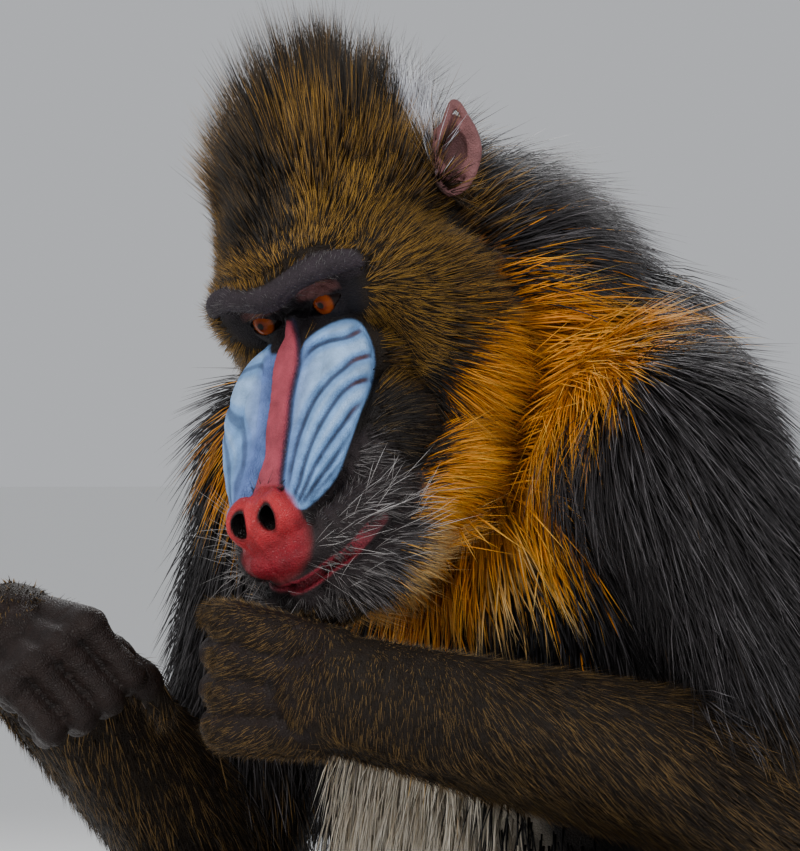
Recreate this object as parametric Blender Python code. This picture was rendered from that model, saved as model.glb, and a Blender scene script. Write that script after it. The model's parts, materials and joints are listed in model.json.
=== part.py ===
"""An adult male mandrill sitting on the floor with both fists raised to its mouth, at life size.

The animal looks along -Y, its left side is +X and the floor is z = 0. Sizes in the tables are
millimetres and MM turns them into Blender's metres. The solids are the outside of the coat: the
hair that stands out from the body as locks is built lock by lock on the nodes that it grows from.
"""

import math
import random

import bmesh
import bpy
import numpy as np
from mathutils import Matrix, Vector
from mathutils.bvhtree import BVHTree

MM = 0.001
GAP = 0.35 * MM
ROOT_DEPTH = 9

# Where the head is and how it is held: turned to its left, nodding down and tilted.
EYE_MIDPOINT = Vector((0, -170, 482))
HEAD_TURN, HEAD_NOD, HEAD_TILT = math.radians(16.0), math.radians(26.5), math.radians(-15.7)

# Joints of each limb. The right knee lies lower and wider than the left one.
LIMBS = {
    "left": {
        "shoulder": (122, -36, 420), "elbow": (180, 10, 247), "wrist": (51, -181, 299),
        "hip": (60, 45, 96), "knee": (165, -95, 184), "ankle": (112, -215, 46),
    },
    "right": {
        "shoulder": (-126, -62, 412), "elbow": (-170, -78, 206), "wrist": (-136, -240, 322),
        "hip": (-60, 45, 96), "knee": (-178, -120, 116), "ankle": (-84, -240, 46),
    },
}

# Hands: finger bone lengths, the breadth of a finger and the spacing of the knuckles.
PALM_LENGTH = 68
KNUCKLE_SPACING = 15.5
FINGER_BONES = (41, 27, 19)
FINGER_RADII = (9.4, 8.6, 7.8, 6.4)
FINGER_SCALES = (0.84, 0.97, 1.0, 0.94)
THUMB_BONES = (30, 25, 19)

# The left fist, its back turned outwards and its thumb on top.
LEFT_HAND_FORWARD = Vector((-36, -52, 10))
LEFT_HAND_ACROSS = Vector((0.1, 0.1, 0.98))
# The right hand, seen on its back: which way its knuckles lie, and from the little finger to the thumb.
RIGHT_HAND_FORWARD = Vector((0.946, -0.273, -0.12))
RIGHT_HAND_ACROSS = Vector((0.156, 0.731, 0.62))

EYE_RADIUS = 11.0
EYE_CENTRE = Vector((20.3, 9.5, 0))


def clear_scene():
    for old in list(bpy.data.objects):
        bpy.data.objects.remove(old)


def head_frame():
    """The head's own frame: x to its left, y to the back, z up, from the midpoint of the eyes."""
    turn = Matrix.Rotation(HEAD_TURN, 4, "Z")
    nod = Matrix.Rotation(HEAD_NOD, 4, "X")
    tilt = Matrix.Rotation(HEAD_TILT, 4, "Y")
    return Matrix.Translation(EYE_MIDPOINT * MM) @ turn @ nod @ tilt


def station(point, radius):
    return (point.x, point.y, point.z, radius)


# Each node's finish: a dark ticked coat where it has hair, and bare skin elsewhere.
FINISHES = {
    "head": ((0.045, 0.030, 0.014), 0.75), "neck": ((0.024, 0.022, 0.024), 0.75), "torso": ((0.028, 0.024, 0.021), 0.75),
    "upper_arm": ((0.026, 0.023, 0.022), 0.75), "forearm": ((0.030, 0.022, 0.012), 0.75),
    "thigh": ((0.032, 0.024, 0.015), 0.75), "shin": ((0.032, 0.024, 0.015), 0.75), "tail": ((0.06, 0.045, 0.03), 0.75),
    "hand": ((0.016, 0.010, 0.009), 0.55), "foot": ((0.016, 0.010, 0.009), 0.55), "ear": ((0.20, 0.09, 0.09), 0.6),
    "seat_pad": ((0.30, 0.09, 0.13), 0.6), "eye": ((0.27, 0.07, 0.015), 0.2),
}


def finish_of(name):
    """The node's own material, from the finish of its kind."""
    colour, roughness = FINISHES[name.removesuffix("_left").removesuffix("_right")]
    return material(name + "_finish", colour, roughness)


def material(name, colour, roughness):
    made = bpy.data.materials.new(name)
    made.use_nodes = True
    shader = made.node_tree.nodes["Principled BSDF"]
    shader.inputs["Base Color"].default_value = (*colour, 1.0)
    shader.inputs["Roughness"].default_value = roughness
    return made


def curve_through(stations, steps):
    """Points with radii on a smooth curve through the stations, with so many steps between two."""
    ends = [stations[0], *stations, stations[-1]]
    points = []
    for i in range(len(stations) - 1):
        a, b, c, d = (Vector(s) for s in ends[i : i + 4])
        for k in range(steps):
            t = k / steps
            points.append(
                0.5 * (2 * b + (c - a) * t + (2 * a - 5 * b + 4 * c - d) * t**2 + (3 * b - a - 3 * c + d) * t**3)
            )
    points.append(Vector(stations[-1]))
    return points


def unit_ball(around=20, rows=12):
    """Points and faces of a ball of radius 1."""
    points = [(0, 0, 1)]
    for i in range(1, rows):
        fall = math.pi * i / rows
        for k in range(around):
            turn = 2 * math.pi * k / around
            points.append((math.sin(fall) * math.cos(turn), math.sin(fall) * math.sin(turn), math.cos(fall)))
    points.append((0, 0, -1))
    last = len(points) - 1
    faces = []
    for k in range(around):
        after = (k + 1) % around
        faces.append((0, 1 + k, 1 + after))
        for i in range(rows - 2):
            a, b = 1 + i * around, 1 + (i + 1) * around
            faces.append((a + k, b + k, b + after, a + after))
        faces.append((last, last - around + after, last - around + k))
    return np.array(points), faces


BALL_POINTS, BALL_FACES = unit_ball()


def add_ball(clay, centre, halves, frame=None):
    """An ellipsoid in the clay, with its three half sizes."""
    place = Matrix.Translation(Vector(centre) * MM) @ Matrix.Diagonal((*[h * MM for h in halves], 1))
    clay.append(np.array((frame or Matrix.Identity(4)) @ place))


def add_limb(clay, stations, frame=None, steps=10):
    """A row of balls set so close that they make a round limb which swells and tapers."""
    for x, y, z, radius in curve_through(stations, steps):
        add_ball(clay, (x, y, z), (radius, radius, radius), frame)


def settle(obj):
    """Gives the object the mesh that its modifiers make, and drops the modifiers."""
    graph = bpy.context.evaluated_depsgraph_get()
    mesh = bpy.data.meshes.new_from_object(obj.evaluated_get(graph))
    obj.modifiers.clear()
    old = obj.data
    obj.data = mesh
    bpy.data.meshes.remove(old)


def object_of(name, points, faces):
    mesh = bpy.data.meshes.new(name)
    mesh.from_pydata([tuple(p) for p in points], [], faces)
    mesh.update()
    obj = bpy.data.objects.new(name, mesh)
    bpy.context.scene.collection.objects.link(obj)
    return obj


def fuse(name, clay, voxel, smoothing):
    """Makes the clay's balls one skin of small quads and smooths its creases."""
    count = len(BALL_POINTS)
    points = np.concatenate([BALL_POINTS @ place[:3, :3].T + place[:3, 3] for place in clay])
    faces = [tuple(v + i * count for v in face) for i in range(len(clay)) for face in BALL_FACES]
    obj = object_of(name, points, faces)
    remesh = obj.modifiers.new("one skin", "REMESH")
    remesh.mode = "VOXEL"
    remesh.voxel_size = voxel * MM
    smooth = obj.modifiers.new("soften", "SMOOTH")
    smooth.factor = 0.5
    smooth.iterations = smoothing
    settle(obj)
    return obj


def thin(obj, triangles):
    """Thins a mesh to about so many triangles, keeping most where it bends most."""
    count = sum(len(face.vertices) - 2 for face in obj.data.polygons)
    decimate = obj.modifiers.new("thin", "DECIMATE")
    decimate.ratio = min(1.0, triangles / count)
    decimate.use_collapse_triangulate = True
    settle(obj)
    return obj


def largest_surface(obj):
    """Keeps only the mesh's largest closed surface."""
    shape = bmesh.new()
    shape.from_mesh(obj.data)
    left, groups = set(shape.faces), []
    while left:
        group, edge = set(), [next(iter(left))]
        while edge:
            face = edge.pop()
            if face in group:
                continue
            group.add(face)
            edge.extend(f for e in face.edges for f in e.link_faces if f not in group)
        groups.append(group)
        left -= group
    groups.sort(key=len)
    scraps = [face for group in groups[:-1] for face in group]
    bmesh.ops.delete(shape, geom=scraps, context="FACES")
    bmesh.ops.triangulate(shape, faces=shape.faces)
    shape.to_mesh(obj.data)
    shape.free()


def swollen(obj, by):
    """A copy of the object with its surface moved outwards."""
    copy = bpy.data.objects.new(obj.name + "_swollen", obj.data.copy())
    bpy.context.scene.collection.objects.link(copy)
    shape = bmesh.new()
    shape.from_mesh(copy.data)
    shape.normal_update()
    moves = [v.normal * by * min(v.calc_shell_factor(), 1.6) for v in shape.verts]
    for vertex, move in zip(shape.verts, moves):
        vertex.co += move
    shape.to_mesh(copy.data)
    shape.free()
    return copy


def combine(obj, others, operation):
    """One Boolean of the object with a collection of closed meshes, which are then removed."""
    group = bpy.data.collections.new("operands")
    bpy.context.scene.collection.children.link(group)
    for other in others:
        for holder in list(other.users_collection):
            holder.objects.unlink(other)
        group.objects.link(other)
    boolean = obj.modifiers.new("combine", "BOOLEAN")
    boolean.operation = operation
    boolean.operand_type = "COLLECTION"
    boolean.collection = group
    boolean.solver = "MANIFOLD"
    settle(obj)
    for other in others:
        bpy.data.objects.remove(other)
    bpy.data.collections.remove(group)
    largest_surface(obj)


def box_of(obj):
    count = len(obj.data.vertices)
    flat = np.empty(count * 3)
    obj.data.vertices.foreach_get("co", flat)
    points = flat.reshape(-1, 3)
    return points.min(0), points.max(0)


def clear_of(obj, cutters):
    """Cuts the object back so that it meets its neighbours face to face, a gap away."""
    low, high = box_of(obj)
    copies = []
    for cutter, cutter_low, cutter_high in cutters:
        if (low > cutter_high).any() or (high < cutter_low).any():
            continue
        copy = bpy.data.objects.new(cutter.name + "_copy", cutter.data.copy())
        bpy.context.scene.collection.objects.link(copy)
        copies.append(copy)
    if copies:
        combine(obj, copies, "DIFFERENCE")


def add_trunk(clay, rows, steps=8):
    """A body from rows of height, half width, half depth, middle y and half height."""
    ends = [rows[0], *rows, rows[-1]]
    for i in range(len(rows) - 1):
        p, q, r, t = (np.array(row, float) for row in ends[i : i + 4])
        for k in range(steps + 1):
            f = k / steps
            z, wide, deep, middle, high = 0.5 * (
                2 * q + (r - p) * f + (2 * p - 5 * q + 4 * r - t) * f**2 + (3 * q - p - 3 * r + t) * f**3
            )
            add_ball(clay, (0, middle, z), (wide, deep, high))


def torso():
    clay = []
    add_trunk(clay, [
        (96, 106, 90, 58, 82), (160, 124, 118, 26, 84), (230, 134, 122, 2, 84), (310, 136, 112, -8, 80),
        (380, 132, 106, -13, 74), (430, 122, 99, -10, 70), (466, 98, 88, -6, 68),
    ])
    for side in (1, -1):
        add_ball(clay, (side * 98, -30, 418), (56, 62, 66))
        add_ball(clay, (side * 66, 56, 98), (66, 82, 74))
    return thin(fuse("torso", clay, 6, 8), 740)


def neck():
    clay = []
    add_limb(clay, [(0, -12, 462, 86), (-6, -46, 494, 86), (-12, -78, 508, 74), (-14, -92, 512, 58)])
    return thin(fuse("neck", clay, 5, 8), 240)


def ridge_path(k):
    """The line of a cheek ridge on the left side, from the cheek's rim in to the nose."""
    paths = (
        [(29, 1, -18, 3.2), (26, -8, -17, 4.2), (17, -12, -15, 4.4), (12, -18, -18, 3.4)],
        [(36, -10, -26, 3.4), (33, -22, -25, 4.6), (21, -25, -26, 4.8), (13, -32, -29, 4.2), (11, -42, -36, 3.6)],
        [(40, -19, -34, 3.6), (36, -36, -35, 5), (29, -45, -39, 5), (22, -55, -46, 4.6), (18, -78, -61, 3.2)],
        [(35, -20, -44, 3.6), (39, -37, -42, 5), (34, -50, -46, 5), (28, -62, -53, 4.6), (18, -81, -66, 3)],
        [(35, -31, -49, 3.8), (37, -49, -53, 4.8), (31, -63, -59, 4.6), (25, -72, -65, 3.6)],
        [(33, -47, -58, 3.6), (31, -60, -63, 4), (26, -69, -67, 3.4)],
    )
    return paths[k]


BROW = [(-50, 8, 13, 6), (-40, 1, 17, 7.4), (-27, -5, 18, 8.2), (-13, -9, 16, 9), (0, -10, 14, 9.4)]
# Rows of the swollen cheeks: how far back, the top's height and half the width.
SWELLING = ((-8, -14, 33), (-26, -22, 42), (-40, -31, 42), (-52, -40, 40), (-63, -47, 36), (-73, -53, 30), (-82, -59, 24))
SWELLING_BALL = 11


def head_clay():
    """The head's masses in its own frame, without the long hair."""
    frame = head_frame()
    clay = []
    # Braincase, forehead, nape and cheeks, with their short coat.
    add_ball(clay, (0, 66, 22), (66, 78, 60), frame)
    add_ball(clay, (0, 24, 30), (50, 38, 34), frame)
    add_ball(clay, (0, 100, 0), (62, 50, 62), frame)
    add_ball(clay, (0, 24, -40), (45, 46, 46), frame)
    # Muzzle, its bony bridge, the nose and the upper lip.
    add_limb(clay, [(0, 2, -38, 34), (0, -34, -62, 31), (0, -64, -82, 25), (0, -82, -88, 19)], frame)
    add_limb(clay, [(0, -2, -3, 6), (0, -15, -20, 6.5), (0, -34, -33, 7), (0, -70, -59, 8.4), (0, -80, -67, 11)], frame)
    add_ball(clay, (0, -87, -74), (17, 14, 16), frame)
    add_ball(clay, (0, -82, -89), (29, 20, 12), frame)
    # Lower jaw and chin.
    add_limb(clay, [(0, -79, -117, 15), (0, -50, -112, 26), (0, -10, -94, 34)], frame)
    add_limb(clay, [(0, -62, -124, 14), (0, -34, -128, 24), (0, 4, -122, 36), (0, 40, -104, 44)], frame)
    # The upright crest over the crown.
    add_limb(clay, [(0, 20, 46, 42), (0, 56, 58, 47), (0, 98, 50, 48), (0, 126, 26, 44)], frame)
    for side in (1, -1):
        x = side
        add_limb(clay, [(x * bx, y, z, r) for bx, y, z, r in BROW], frame)
        for lane in (1.0, 0.62, 0.25):
            row = [
                (x * (wide - SWELLING_BALL) * lane, back + 6, top - 9.8, SWELLING_BALL)
                for back, top, wide in SWELLING
            ]
            add_limb(clay, row, frame)
        add_ball(clay, (x * 11.5, -85, -70), (12.5, 14, 13), frame)
        add_limb(clay, [(x * 40, 32, 4, 35), (x * 46, 44, -24, 42), (x * 42, 34, -64, 38), (x * 26, 14, -98, 34)], frame)
        add_limb(clay, [(x * 60, 50, 6, 34), (x * 68, 42, -30, 36), (x * 58, 38, -70, 34)], frame)
        add_limb(clay, [(x * 25, -40, -72, 20), (x * 33, -14, -64, 24)], frame)
        add_limb(clay, [(x * 18, -77, -115, 12), (x * 32, -50, -110, 17), (x * 39, -8, -90, 23)], frame)
        add_limb(clay, [(x * 18, -84, -88, 11), (x * 29, -66, -89, 14), (x * 33, -40, -86, 18)], frame)
        add_ball(clay, (x * EYE_CENTRE.x, EYE_CENTRE.y + 3, 0), (14.5, 14.5, 14.5), frame)
        for k in range(6):
            path = [(x * (px - 1), y + 1, z - 1.6, r) for px, y, z, r in ridge_path(k)]
            add_limb(clay, path, frame)
    return clay


def press(obj, line, width, depth, frame):
    """Presses a groove into the mesh along a line, or a pit where the line is one point."""
    count = len(obj.data.vertices)
    flat = np.empty(count * 3)
    obj.data.vertices.foreach_get("co", flat)
    points = flat.reshape(-1, 3)
    obj.data.vertices.foreach_get("normal", flat := np.empty(count * 3))
    normals = flat.reshape(-1, 3)
    ends = [np.array(frame @ (Vector(p) * MM)) for p in line]
    if len(ends) == 1:
        ends = ends * 2
    nearest = np.full(count, 1e9)
    for a, b in zip(ends, ends[1:]):
        along = b - a
        share = np.clip((points - a) @ along / max(along @ along, 1e-12), 0, 1)
        nearest = np.minimum(nearest, np.linalg.norm(points - a - share[:, None] * along, axis=1))
    amount = np.clip(1 - (nearest / (width * MM)) ** 2, 0, 1) ** 2 * depth * MM
    points = points - normals * amount[:, None]
    obj.data.vertices.foreach_set("co", points.ravel())
    obj.data.update()


MOUTH_LINE = ((0, -90, -106), (10, -82, -105), (17, -77, -104), (25, -75, -102), (34, -73, -98), (42, -60, -94))


def head():
    """The head: a bare ridged muzzle, lids round the eyes, a closed mouth and a short coat behind."""
    frame = head_frame()
    obj = fuse("head", head_clay(), 1.8, 3)
    for side in (1, -1):
        press(obj, [(side * x, y, z) for x, y, z in MOUTH_LINE], 3.4, 3.2, frame)
        press(obj, [(side * 9, -101, -65), (side * 10, -98, -68)], 5.4, 6.0, frame)
        press(obj, [(side * 8.5, -70, -51), (side * 8, -51, -39), (side * 7.5, -34, -27), (side * 7, -15, -15)], 2.8, 2.2, frame)
    press(obj, [(0, -101, -74), (0, -102, -82), (0, -100, -92)], 3.0, 1.8, frame)
    thin(obj, 2150)
    openings = []
    for side in (1, -1):
        clay = []
        for x, z, half in ((-7, -2, 2.4), (-3.5, -0.8, 4.2), (0, -0.3, 5.0), (3.5, 0, 4.6), (7, 0.7, 2.6)):
            add_ball(clay, (side * (EYE_CENTRE.x + x), -4, z), (4.0, 12, half), frame)
        openings.append(thin(fuse("opening", clay, 1.2, 1), 90))
    combine(obj, openings, "DIFFERENCE")
    return obj


def ear(name, side):
    """A bare cupped ear, pointed above and facing forwards and out."""
    middle = Vector((67, 86, 29))
    long, wide, out = Vector((0.24, 0.446, 0.862)), Vector((0.64, 0.66, -0.40)), Vector((0.638, -0.742, 0.205))

    def at(w, a, o):
        point = middle + wide * w + long * a + out * o
        return (side * point.x, point.y, point.z)

    rim = [(-10, -16), (-2, -23), (8, -18), (14, -4), (14, 8), (8, 20), (1, 27), (-6, 17), (-12, 4), (-10, -16)]
    frame = head_frame()
    clay = []
    add_limb(clay, [(*at(w, a, 2), 3.4) for w, a in rim], frame, steps=6)
    for w, a, radius in ((-2, -12, 8), (1, -2, 10), (1, 8, 9), (0, 17, 6)):
        for back, share in ((-1, 1.0), (-4, 0.8), (-8, 0.6)):
            add_limb(clay, [(*at(w - 2, a - 2, back), radius * share * 0.5), (*at(w + 3, a + 2, back), radius * share * 0.5)], frame)
    for w in (-8, -4, 0, 4, 8):
        add_limb(clay, [(*at(w, -17 + abs(w) * 0.3, -1.5), 2.8), (*at(w, 17 - abs(w) * 0.9, -1.5), 2.8)], frame)
    return thin(fuse(name, clay, 1.3, 2), 220)


def finger_chain(root, forward, palm_normal, bones, radii, curls):
    """Stations of one finger: each joint turns it further towards the palm."""
    across = forward.cross(palm_normal).normalized()
    direction = forward.copy()
    point = root.copy()
    stations = [station(point, radii[0])]
    for bone, radius, curl in zip(bones, radii[1:], curls):
        direction = Matrix.Rotation(curl, 3, across) @ direction
        middle = point + direction * bone * 0.5
        stations.append(station(middle, radius * 0.97))
        point = point + direction * bone
        stations.append(station(point, radius))
    return stations


def hand(name, wrist, forward, across, long, plump, curls, thumb_turn):
    """A closed fist. forward runs from wrist to knuckles, across from the last finger to the first."""
    forward = forward.normalized()
    across = (across - forward * across.dot(forward)).normalized()
    side = 1 if name.endswith("left") else -1
    palm_normal = across.cross(forward) * -side
    turns = [math.radians(a) for a in curls]
    clay = []
    add_limb(clay, [station(wrist - forward * 16, 27), station(wrist + forward * 12, 24 * plump)])
    for k, scale in enumerate(FINGER_SCALES):
        offset = (k - 1.5) * KNUCKLE_SPACING * plump
        knuckle = wrist + forward * PALM_LENGTH * long * (0.9 + 0.04 * k) + across * offset
        heel = wrist + across * offset * 0.7 + forward * 8
        add_limb(clay, [station(heel, 14 * plump), station(knuckle, 10.5 * plump)])
        under = palm_normal * 8
        add_limb(clay, [station(heel + under, 14 * plump), station(knuckle + under - forward * 8, 10 * plump)])
        bones = [b * long * scale for b in FINGER_BONES]
        radii = [r * plump for r in FINGER_RADII]
        add_limb(clay, finger_chain(knuckle, forward, palm_normal, bones, radii, turns), steps=5)
    base = wrist + forward * 20 + across * 18 * plump + palm_normal * 10
    thumb_turns = [math.radians(a) for a in thumb_turn[3:]]
    reach = (forward * thumb_turn[0] + across * thumb_turn[1] + palm_normal * thumb_turn[2]).normalized()
    radii = [r * plump for r in (12, 10.5, 9.5, 7.5)]
    bones = [b * long for b in THUMB_BONES]
    add_limb(clay, finger_chain(base, reach, palm_normal, bones, radii, thumb_turns), steps=5)
    return thin(fuse(name, clay, 2, 3), 430)


def foot(name, side, ankle, turn):
    """A foot flat on the floor below its ankle, its toes turned outwards by so much."""
    spin = Matrix.Rotation(side * turn, 4, "Z")
    frame = Matrix.Translation(Vector((ankle.x, ankle.y, 0)) * MM) @ spin
    x = side
    clay = []
    heel, ball = Vector((0, 22, 16)), Vector((x * -8, -74, 15))
    add_limb(clay, [(0, 0, ankle.z, 26), (x * -2, -16, 34, 24), station(ball, 15)], frame)
    add_limb(clay, [station(heel, 18), (x * -4, -26, 17, 17), station(ball, 15)], frame)
    for k in range(4):
        root = Vector((x * (14 - 14 * k), -66 - 5 * k, 15))
        length = 64 - 4 * abs(k - 2)
        tip = root + Vector((x * (5 - 3 * k), -length, 0))
        arch = (root + tip) / 2 + Vector((0, 0, 7))
        add_limb(clay, [station(root, 11), station(arch, 8.5), (tip.x, tip.y, 8.5, 7.5)], frame, steps=6)
    toe = [(x * -12, -22, 16, 14), (x * -33, -46, 15, 11), (x * -42, -80, 10, 9)]
    add_limb(clay, toe, frame, steps=6)
    return level_sole(thin(fuse(name, clay, 2.5, 3), 340))


def limb_node(name, stations, triangles):
    clay = []
    add_limb(clay, stations)
    return thin(fuse(name, clay, 4.5, 4), triangles)


def tail():
    clay = []
    add_limb(clay, [(0, 140, 118, 24), (0, 170, 150, 20), (0, 184, 186, 17), (0, 184, 214, 9)])
    return thin(fuse("tail", clay, 3, 4), 130)


def seat_pad(name, side):
    """The bare hard pad that the animal sits on, flat below."""
    clay = []
    add_ball(clay, (side * 40, 88, 14), (30, 36, 16))
    return level_sole(thin(fuse(name, clay, 2.5, 2), 130))


def eye(name, side):
    centre = Vector((side * EYE_CENTRE.x, EYE_CENTRE.y, EYE_CENTRE.z))
    place = np.array(head_frame() @ Matrix.Translation(centre * MM))
    points, faces = unit_ball(14, 9)
    return object_of(name, points * EYE_RADIUS * MM @ place[:3, :3].T + place[:3, 3], faces)


def level_sole(obj):
    """Sets what reaches the floor flat on it."""
    for vertex in obj.data.vertices:
        if vertex.co.z < 1.2 * MM:
            vertex.co.z = 0
    return obj


def lock(name, root, lie, normal, length, width, lift, curve):
    """One flat tapered lock. It leaves the surface along lie, lifted from it, and bends back to it."""
    lie = (lie - normal * lie.dot(normal)).normalized()
    across = lie.cross(normal).normalized()
    rows, point = [], root - normal * ROOT_DEPTH * MM
    angle = lift
    steps = ((0.0, 0.80), (0.42, 1.0), (0.42, 0.68))
    for step, share in steps:
        heading = lie * math.cos(angle) + normal * math.sin(angle)
        point = point + heading * length * step
        upward = heading.cross(across) * -1
        half, thick = width * share * 0.5, width * share * 0.2
        rows.append([point - across * half, point - upward * thick, point + across * half, point + upward * thick])
        angle -= curve
    tip = point + (lie * math.cos(angle) + normal * math.sin(angle)) * length * 0.36
    points = [p for row in rows for p in row] + [tip]
    faces = [(3, 2, 1, 0)]
    for i in range(len(rows) - 1):
        for k in range(4):
            after = (k + 1) % 4
            faces.append((4 * i + k, 4 * i + after, 4 * i + 4 + after, 4 * i + 4 + k))
    last = 4 * (len(rows) - 1)
    for k in range(4):
        faces.append((last + k, last + (k + 1) % 4, len(points) - 1))
    obj = object_of(name, points, faces)
    shape = bmesh.new()
    shape.from_mesh(obj.data)
    bmesh.ops.triangulate(shape, faces=shape.faces)
    bmesh.ops.recalc_face_normals(shape, faces=shape.faces)
    shape.to_mesh(obj.data)
    shape.free()
    return obj


def add_locks(obj, fields):
    """Grows each field's locks from the core: a grid of guide points, each dropped onto the surface.

    It gives back a swollen copy of each lock, to cut the neighbours with."""
    shape = bmesh.new()
    shape.from_mesh(obj.data)
    tree = BVHTree.FromBMesh(shape)
    shape.free()
    chance = random.Random(obj.name)
    locks = []
    for frame, guides, lie, length, width, lift, curve in fields:
        turned = frame.to_3x3()
        for guide in guides:
            near_point, normal, _, _ = tree.find_nearest(frame @ (Vector(guide) * MM))
            if near_point is None:
                continue
            way = lie(Vector(guide)) if callable(lie) else Vector(lie)
            way = turned @ way.normalized() + Vector([chance.uniform(-0.12, 0.12) for _ in range(3)])
            size = chance.uniform(0.88, 1.12)
            name = f"{obj.name}_lock"
            locks.append(lock(name, near_point, way, normal, length * size * MM, width * MM, lift, curve))
    outer = [swollen(one, GAP) for one in locks]
    combine(obj, locks, "UNION")
    return outer


def grid(across, along, place):
    """Guide points in offset rows."""
    points = []
    for i, a in enumerate(along):
        shift = (across[1] - across[0]) / 2 if i % 2 and len(across) > 1 else 0
        points.extend(place(c + shift, a) for c in across[: len(across) - (1 if shift else 0)])
    return points


def head_fields():
    frame = head_frame()
    crown = grid((-39, -13, 13, 39), (12, 44, 76, 108, 138), lambda c, a: (c * 1.1, a, 140 - abs(a - 70) * 0.6 - abs(c)))
    fields = [(frame, crown, lambda g: Vector((g.x * 0.010, 0.45 + g.y * 0.005, 0.6)), 42, 27, 1.0, 0.2)]
    for side in (1, -1):
        ruff = grid((-84, -52, -20, 12), (26, 52), lambda c, a: (side * 120, a, c))
        fields.append((frame, ruff, lambda g: Vector((g.x * 0.002, 0.8, -0.45)), 44, 26, 0.6, 0.12))
        jaw = [(side * 30, -30, -150), (side * 56, 4, -130), (side * 70, 34, -110)]
        fields.append((frame, jaw, (0, 0.85, -0.5), 46, 26, 0.62, 0.1))
    beard = [(0, -58, -150), (-18, -34, -160), (18, -34, -160), (0, -10, -170), (-24, 12, -170), (24, 12, -170)]
    fields.append((frame, beard, (0, 0.7, -0.4), 46, 26, 0.8, 0.1))
    return fields


WORLD = Matrix.Identity(4)


def nape(guide):
    """The mane's lie: backwards over the neck and down the sides."""
    return Vector((guide.x * 0.006, 0.8, -0.5))


def neck_fields():
    top = grid((-72, -36, 0, 36, 72), (-70, -40, -10), lambda c, a: (c - 6, a, 620 - abs(c) * 0.9))
    sides = [(side * 150, y, z) for side in (1, -1) for y, z in ((-60, 480), (-30, 500), (-90, 450))]
    return [(WORLD, top + sides, nape, 54, 36, 0.80, 0.17)]


def torso_fields():
    """Long hair down the back and flanks, and down the chest and belly."""
    down = (0, 0.25, -1)

    def around(turn, height):
        angle = math.radians(turn)
        return (math.sin(angle) * 240, math.cos(angle) * 220, height)

    back = grid((-105, -70, -35, 0, 35, 70, 105), (476, 424, 372, 320, 268, 216), around)
    shoulder = [(side * 170, y, z) for side in (1, -1) for y, z in ((20, 460), (40, 420), (-50, 470))]
    chest = grid((-66, -22, 22, 66), (350, 300, 250, 205), lambda c, a: (c, -200, a))
    return [
        (WORLD, back + shoulder, down, 60, 42, 0.72, 0.17),
        (WORLD, chest, (0, -0.1, -1), 54, 36, 0.56, 0.14),
    ]


def arm_fields(side):
    outer = [(side * 240, y, z) for y, z in ((-60, 400), (-20, 410), (-80, 350), (-10, 350), (-50, 300), (0, 300))]
    return [(WORLD, outer, (0, 0.35, -1), 52, 34, 0.58, 0.14)]


def tail_fields():
    tuft = [(x, y, z) for z in (170, 196) for x, y in ((30, 180), (-30, 180), (0, 220), (0, 150))]
    return [(WORLD, tuft, (0, 0.2, 1), 30, 18, 0.5, 0.1)]


def centre_on_floor():
    """Moves everything so that the middle of its box is above the origin."""
    meshes = [obj.data for obj in bpy.context.scene.collection.objects]
    for axis in (0, 1):
        places = [v.co[axis] for mesh in meshes for v in mesh.vertices]
        middle = (min(places) + max(places)) / 2
        for mesh in meshes:
            for vertex in mesh.vertices:
                vertex.co[axis] -= middle


def build():
    clear_scene()
    cutters = []

    def place(obj, fields=()):
        outer = [swollen(obj, GAP)]
        if fields:
            outer += add_locks(obj, fields)
        clear_of(obj, cutters)
        obj.data.materials.clear()
        obj.data.materials.append(finish_of(obj.name))
        cutters.extend((one, *box_of(one)) for one in outer)

    for name, side in (("left", 1), ("right", -1)):
        place(eye("eye_" + name, side))
    place(torso(), torso_fields())
    place(neck(), neck_fields())
    place(head(), head_fields())
    for name, side in (("left", 1), ("right", -1)):
        place(ear("ear_" + name, side))
    for name, side in (("left", 1), ("right", -1)):
        joint = {key: Vector(place_of) for key, place_of in LIMBS[name].items()}
        shoulder, elbow, wrist = joint["shoulder"], joint["elbow"], joint["wrist"]
        upper = shoulder.lerp(elbow, 0.5) + Vector((side * 4, 6, 4))
        place(limb_node("upper_arm_" + name, [station(shoulder, 56), station(upper, 56), station(elbow, 49)], 200), arm_fields(side))
        belly = elbow.lerp(wrist, 0.35)
        place(limb_node("forearm_" + name, [station(elbow, 46), station(belly, 45), station(wrist, 36)], 220))
        hip, knee, ankle = joint["hip"], joint["knee"], joint["ankle"]
        middle = hip.lerp(knee, 0.55)
        place(limb_node("thigh_" + name, [station(hip, 74), station(middle, 62), station(knee, 42)], 220))
        calf = knee.lerp(ankle, 0.35)
        place(limb_node("shin_" + name, [station(knee, 37), station(calf, 42), station(ankle, 27)], 200))
        place(foot("foot_" + name, side, ankle, math.radians(10)))
        place(seat_pad("seat_pad_" + name, side))
    left, right = Vector(LIMBS["left"]["wrist"]), Vector(LIMBS["right"]["wrist"])
    tight, open_thumb = (80, 88, 60), (0.5, 0.55, 0.42, 18, 26, 24)
    place(hand("hand_left", left, LEFT_HAND_FORWARD, LEFT_HAND_ACROSS, 0.82, 1.18, tight, open_thumb))
    curls, thumb = (66, 92, 60), (0.74, 0.52, 0.42, 18, 26, 24)
    place(hand("hand_right", right, RIGHT_HAND_FORWARD, RIGHT_HAND_ACROSS, 0.84, 1.0, curls, thumb))
    place(tail(), tail_fields())
    for cutter, _, _ in cutters:
        bpy.data.objects.remove(cutter)
    centre_on_floor()


build()
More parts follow.
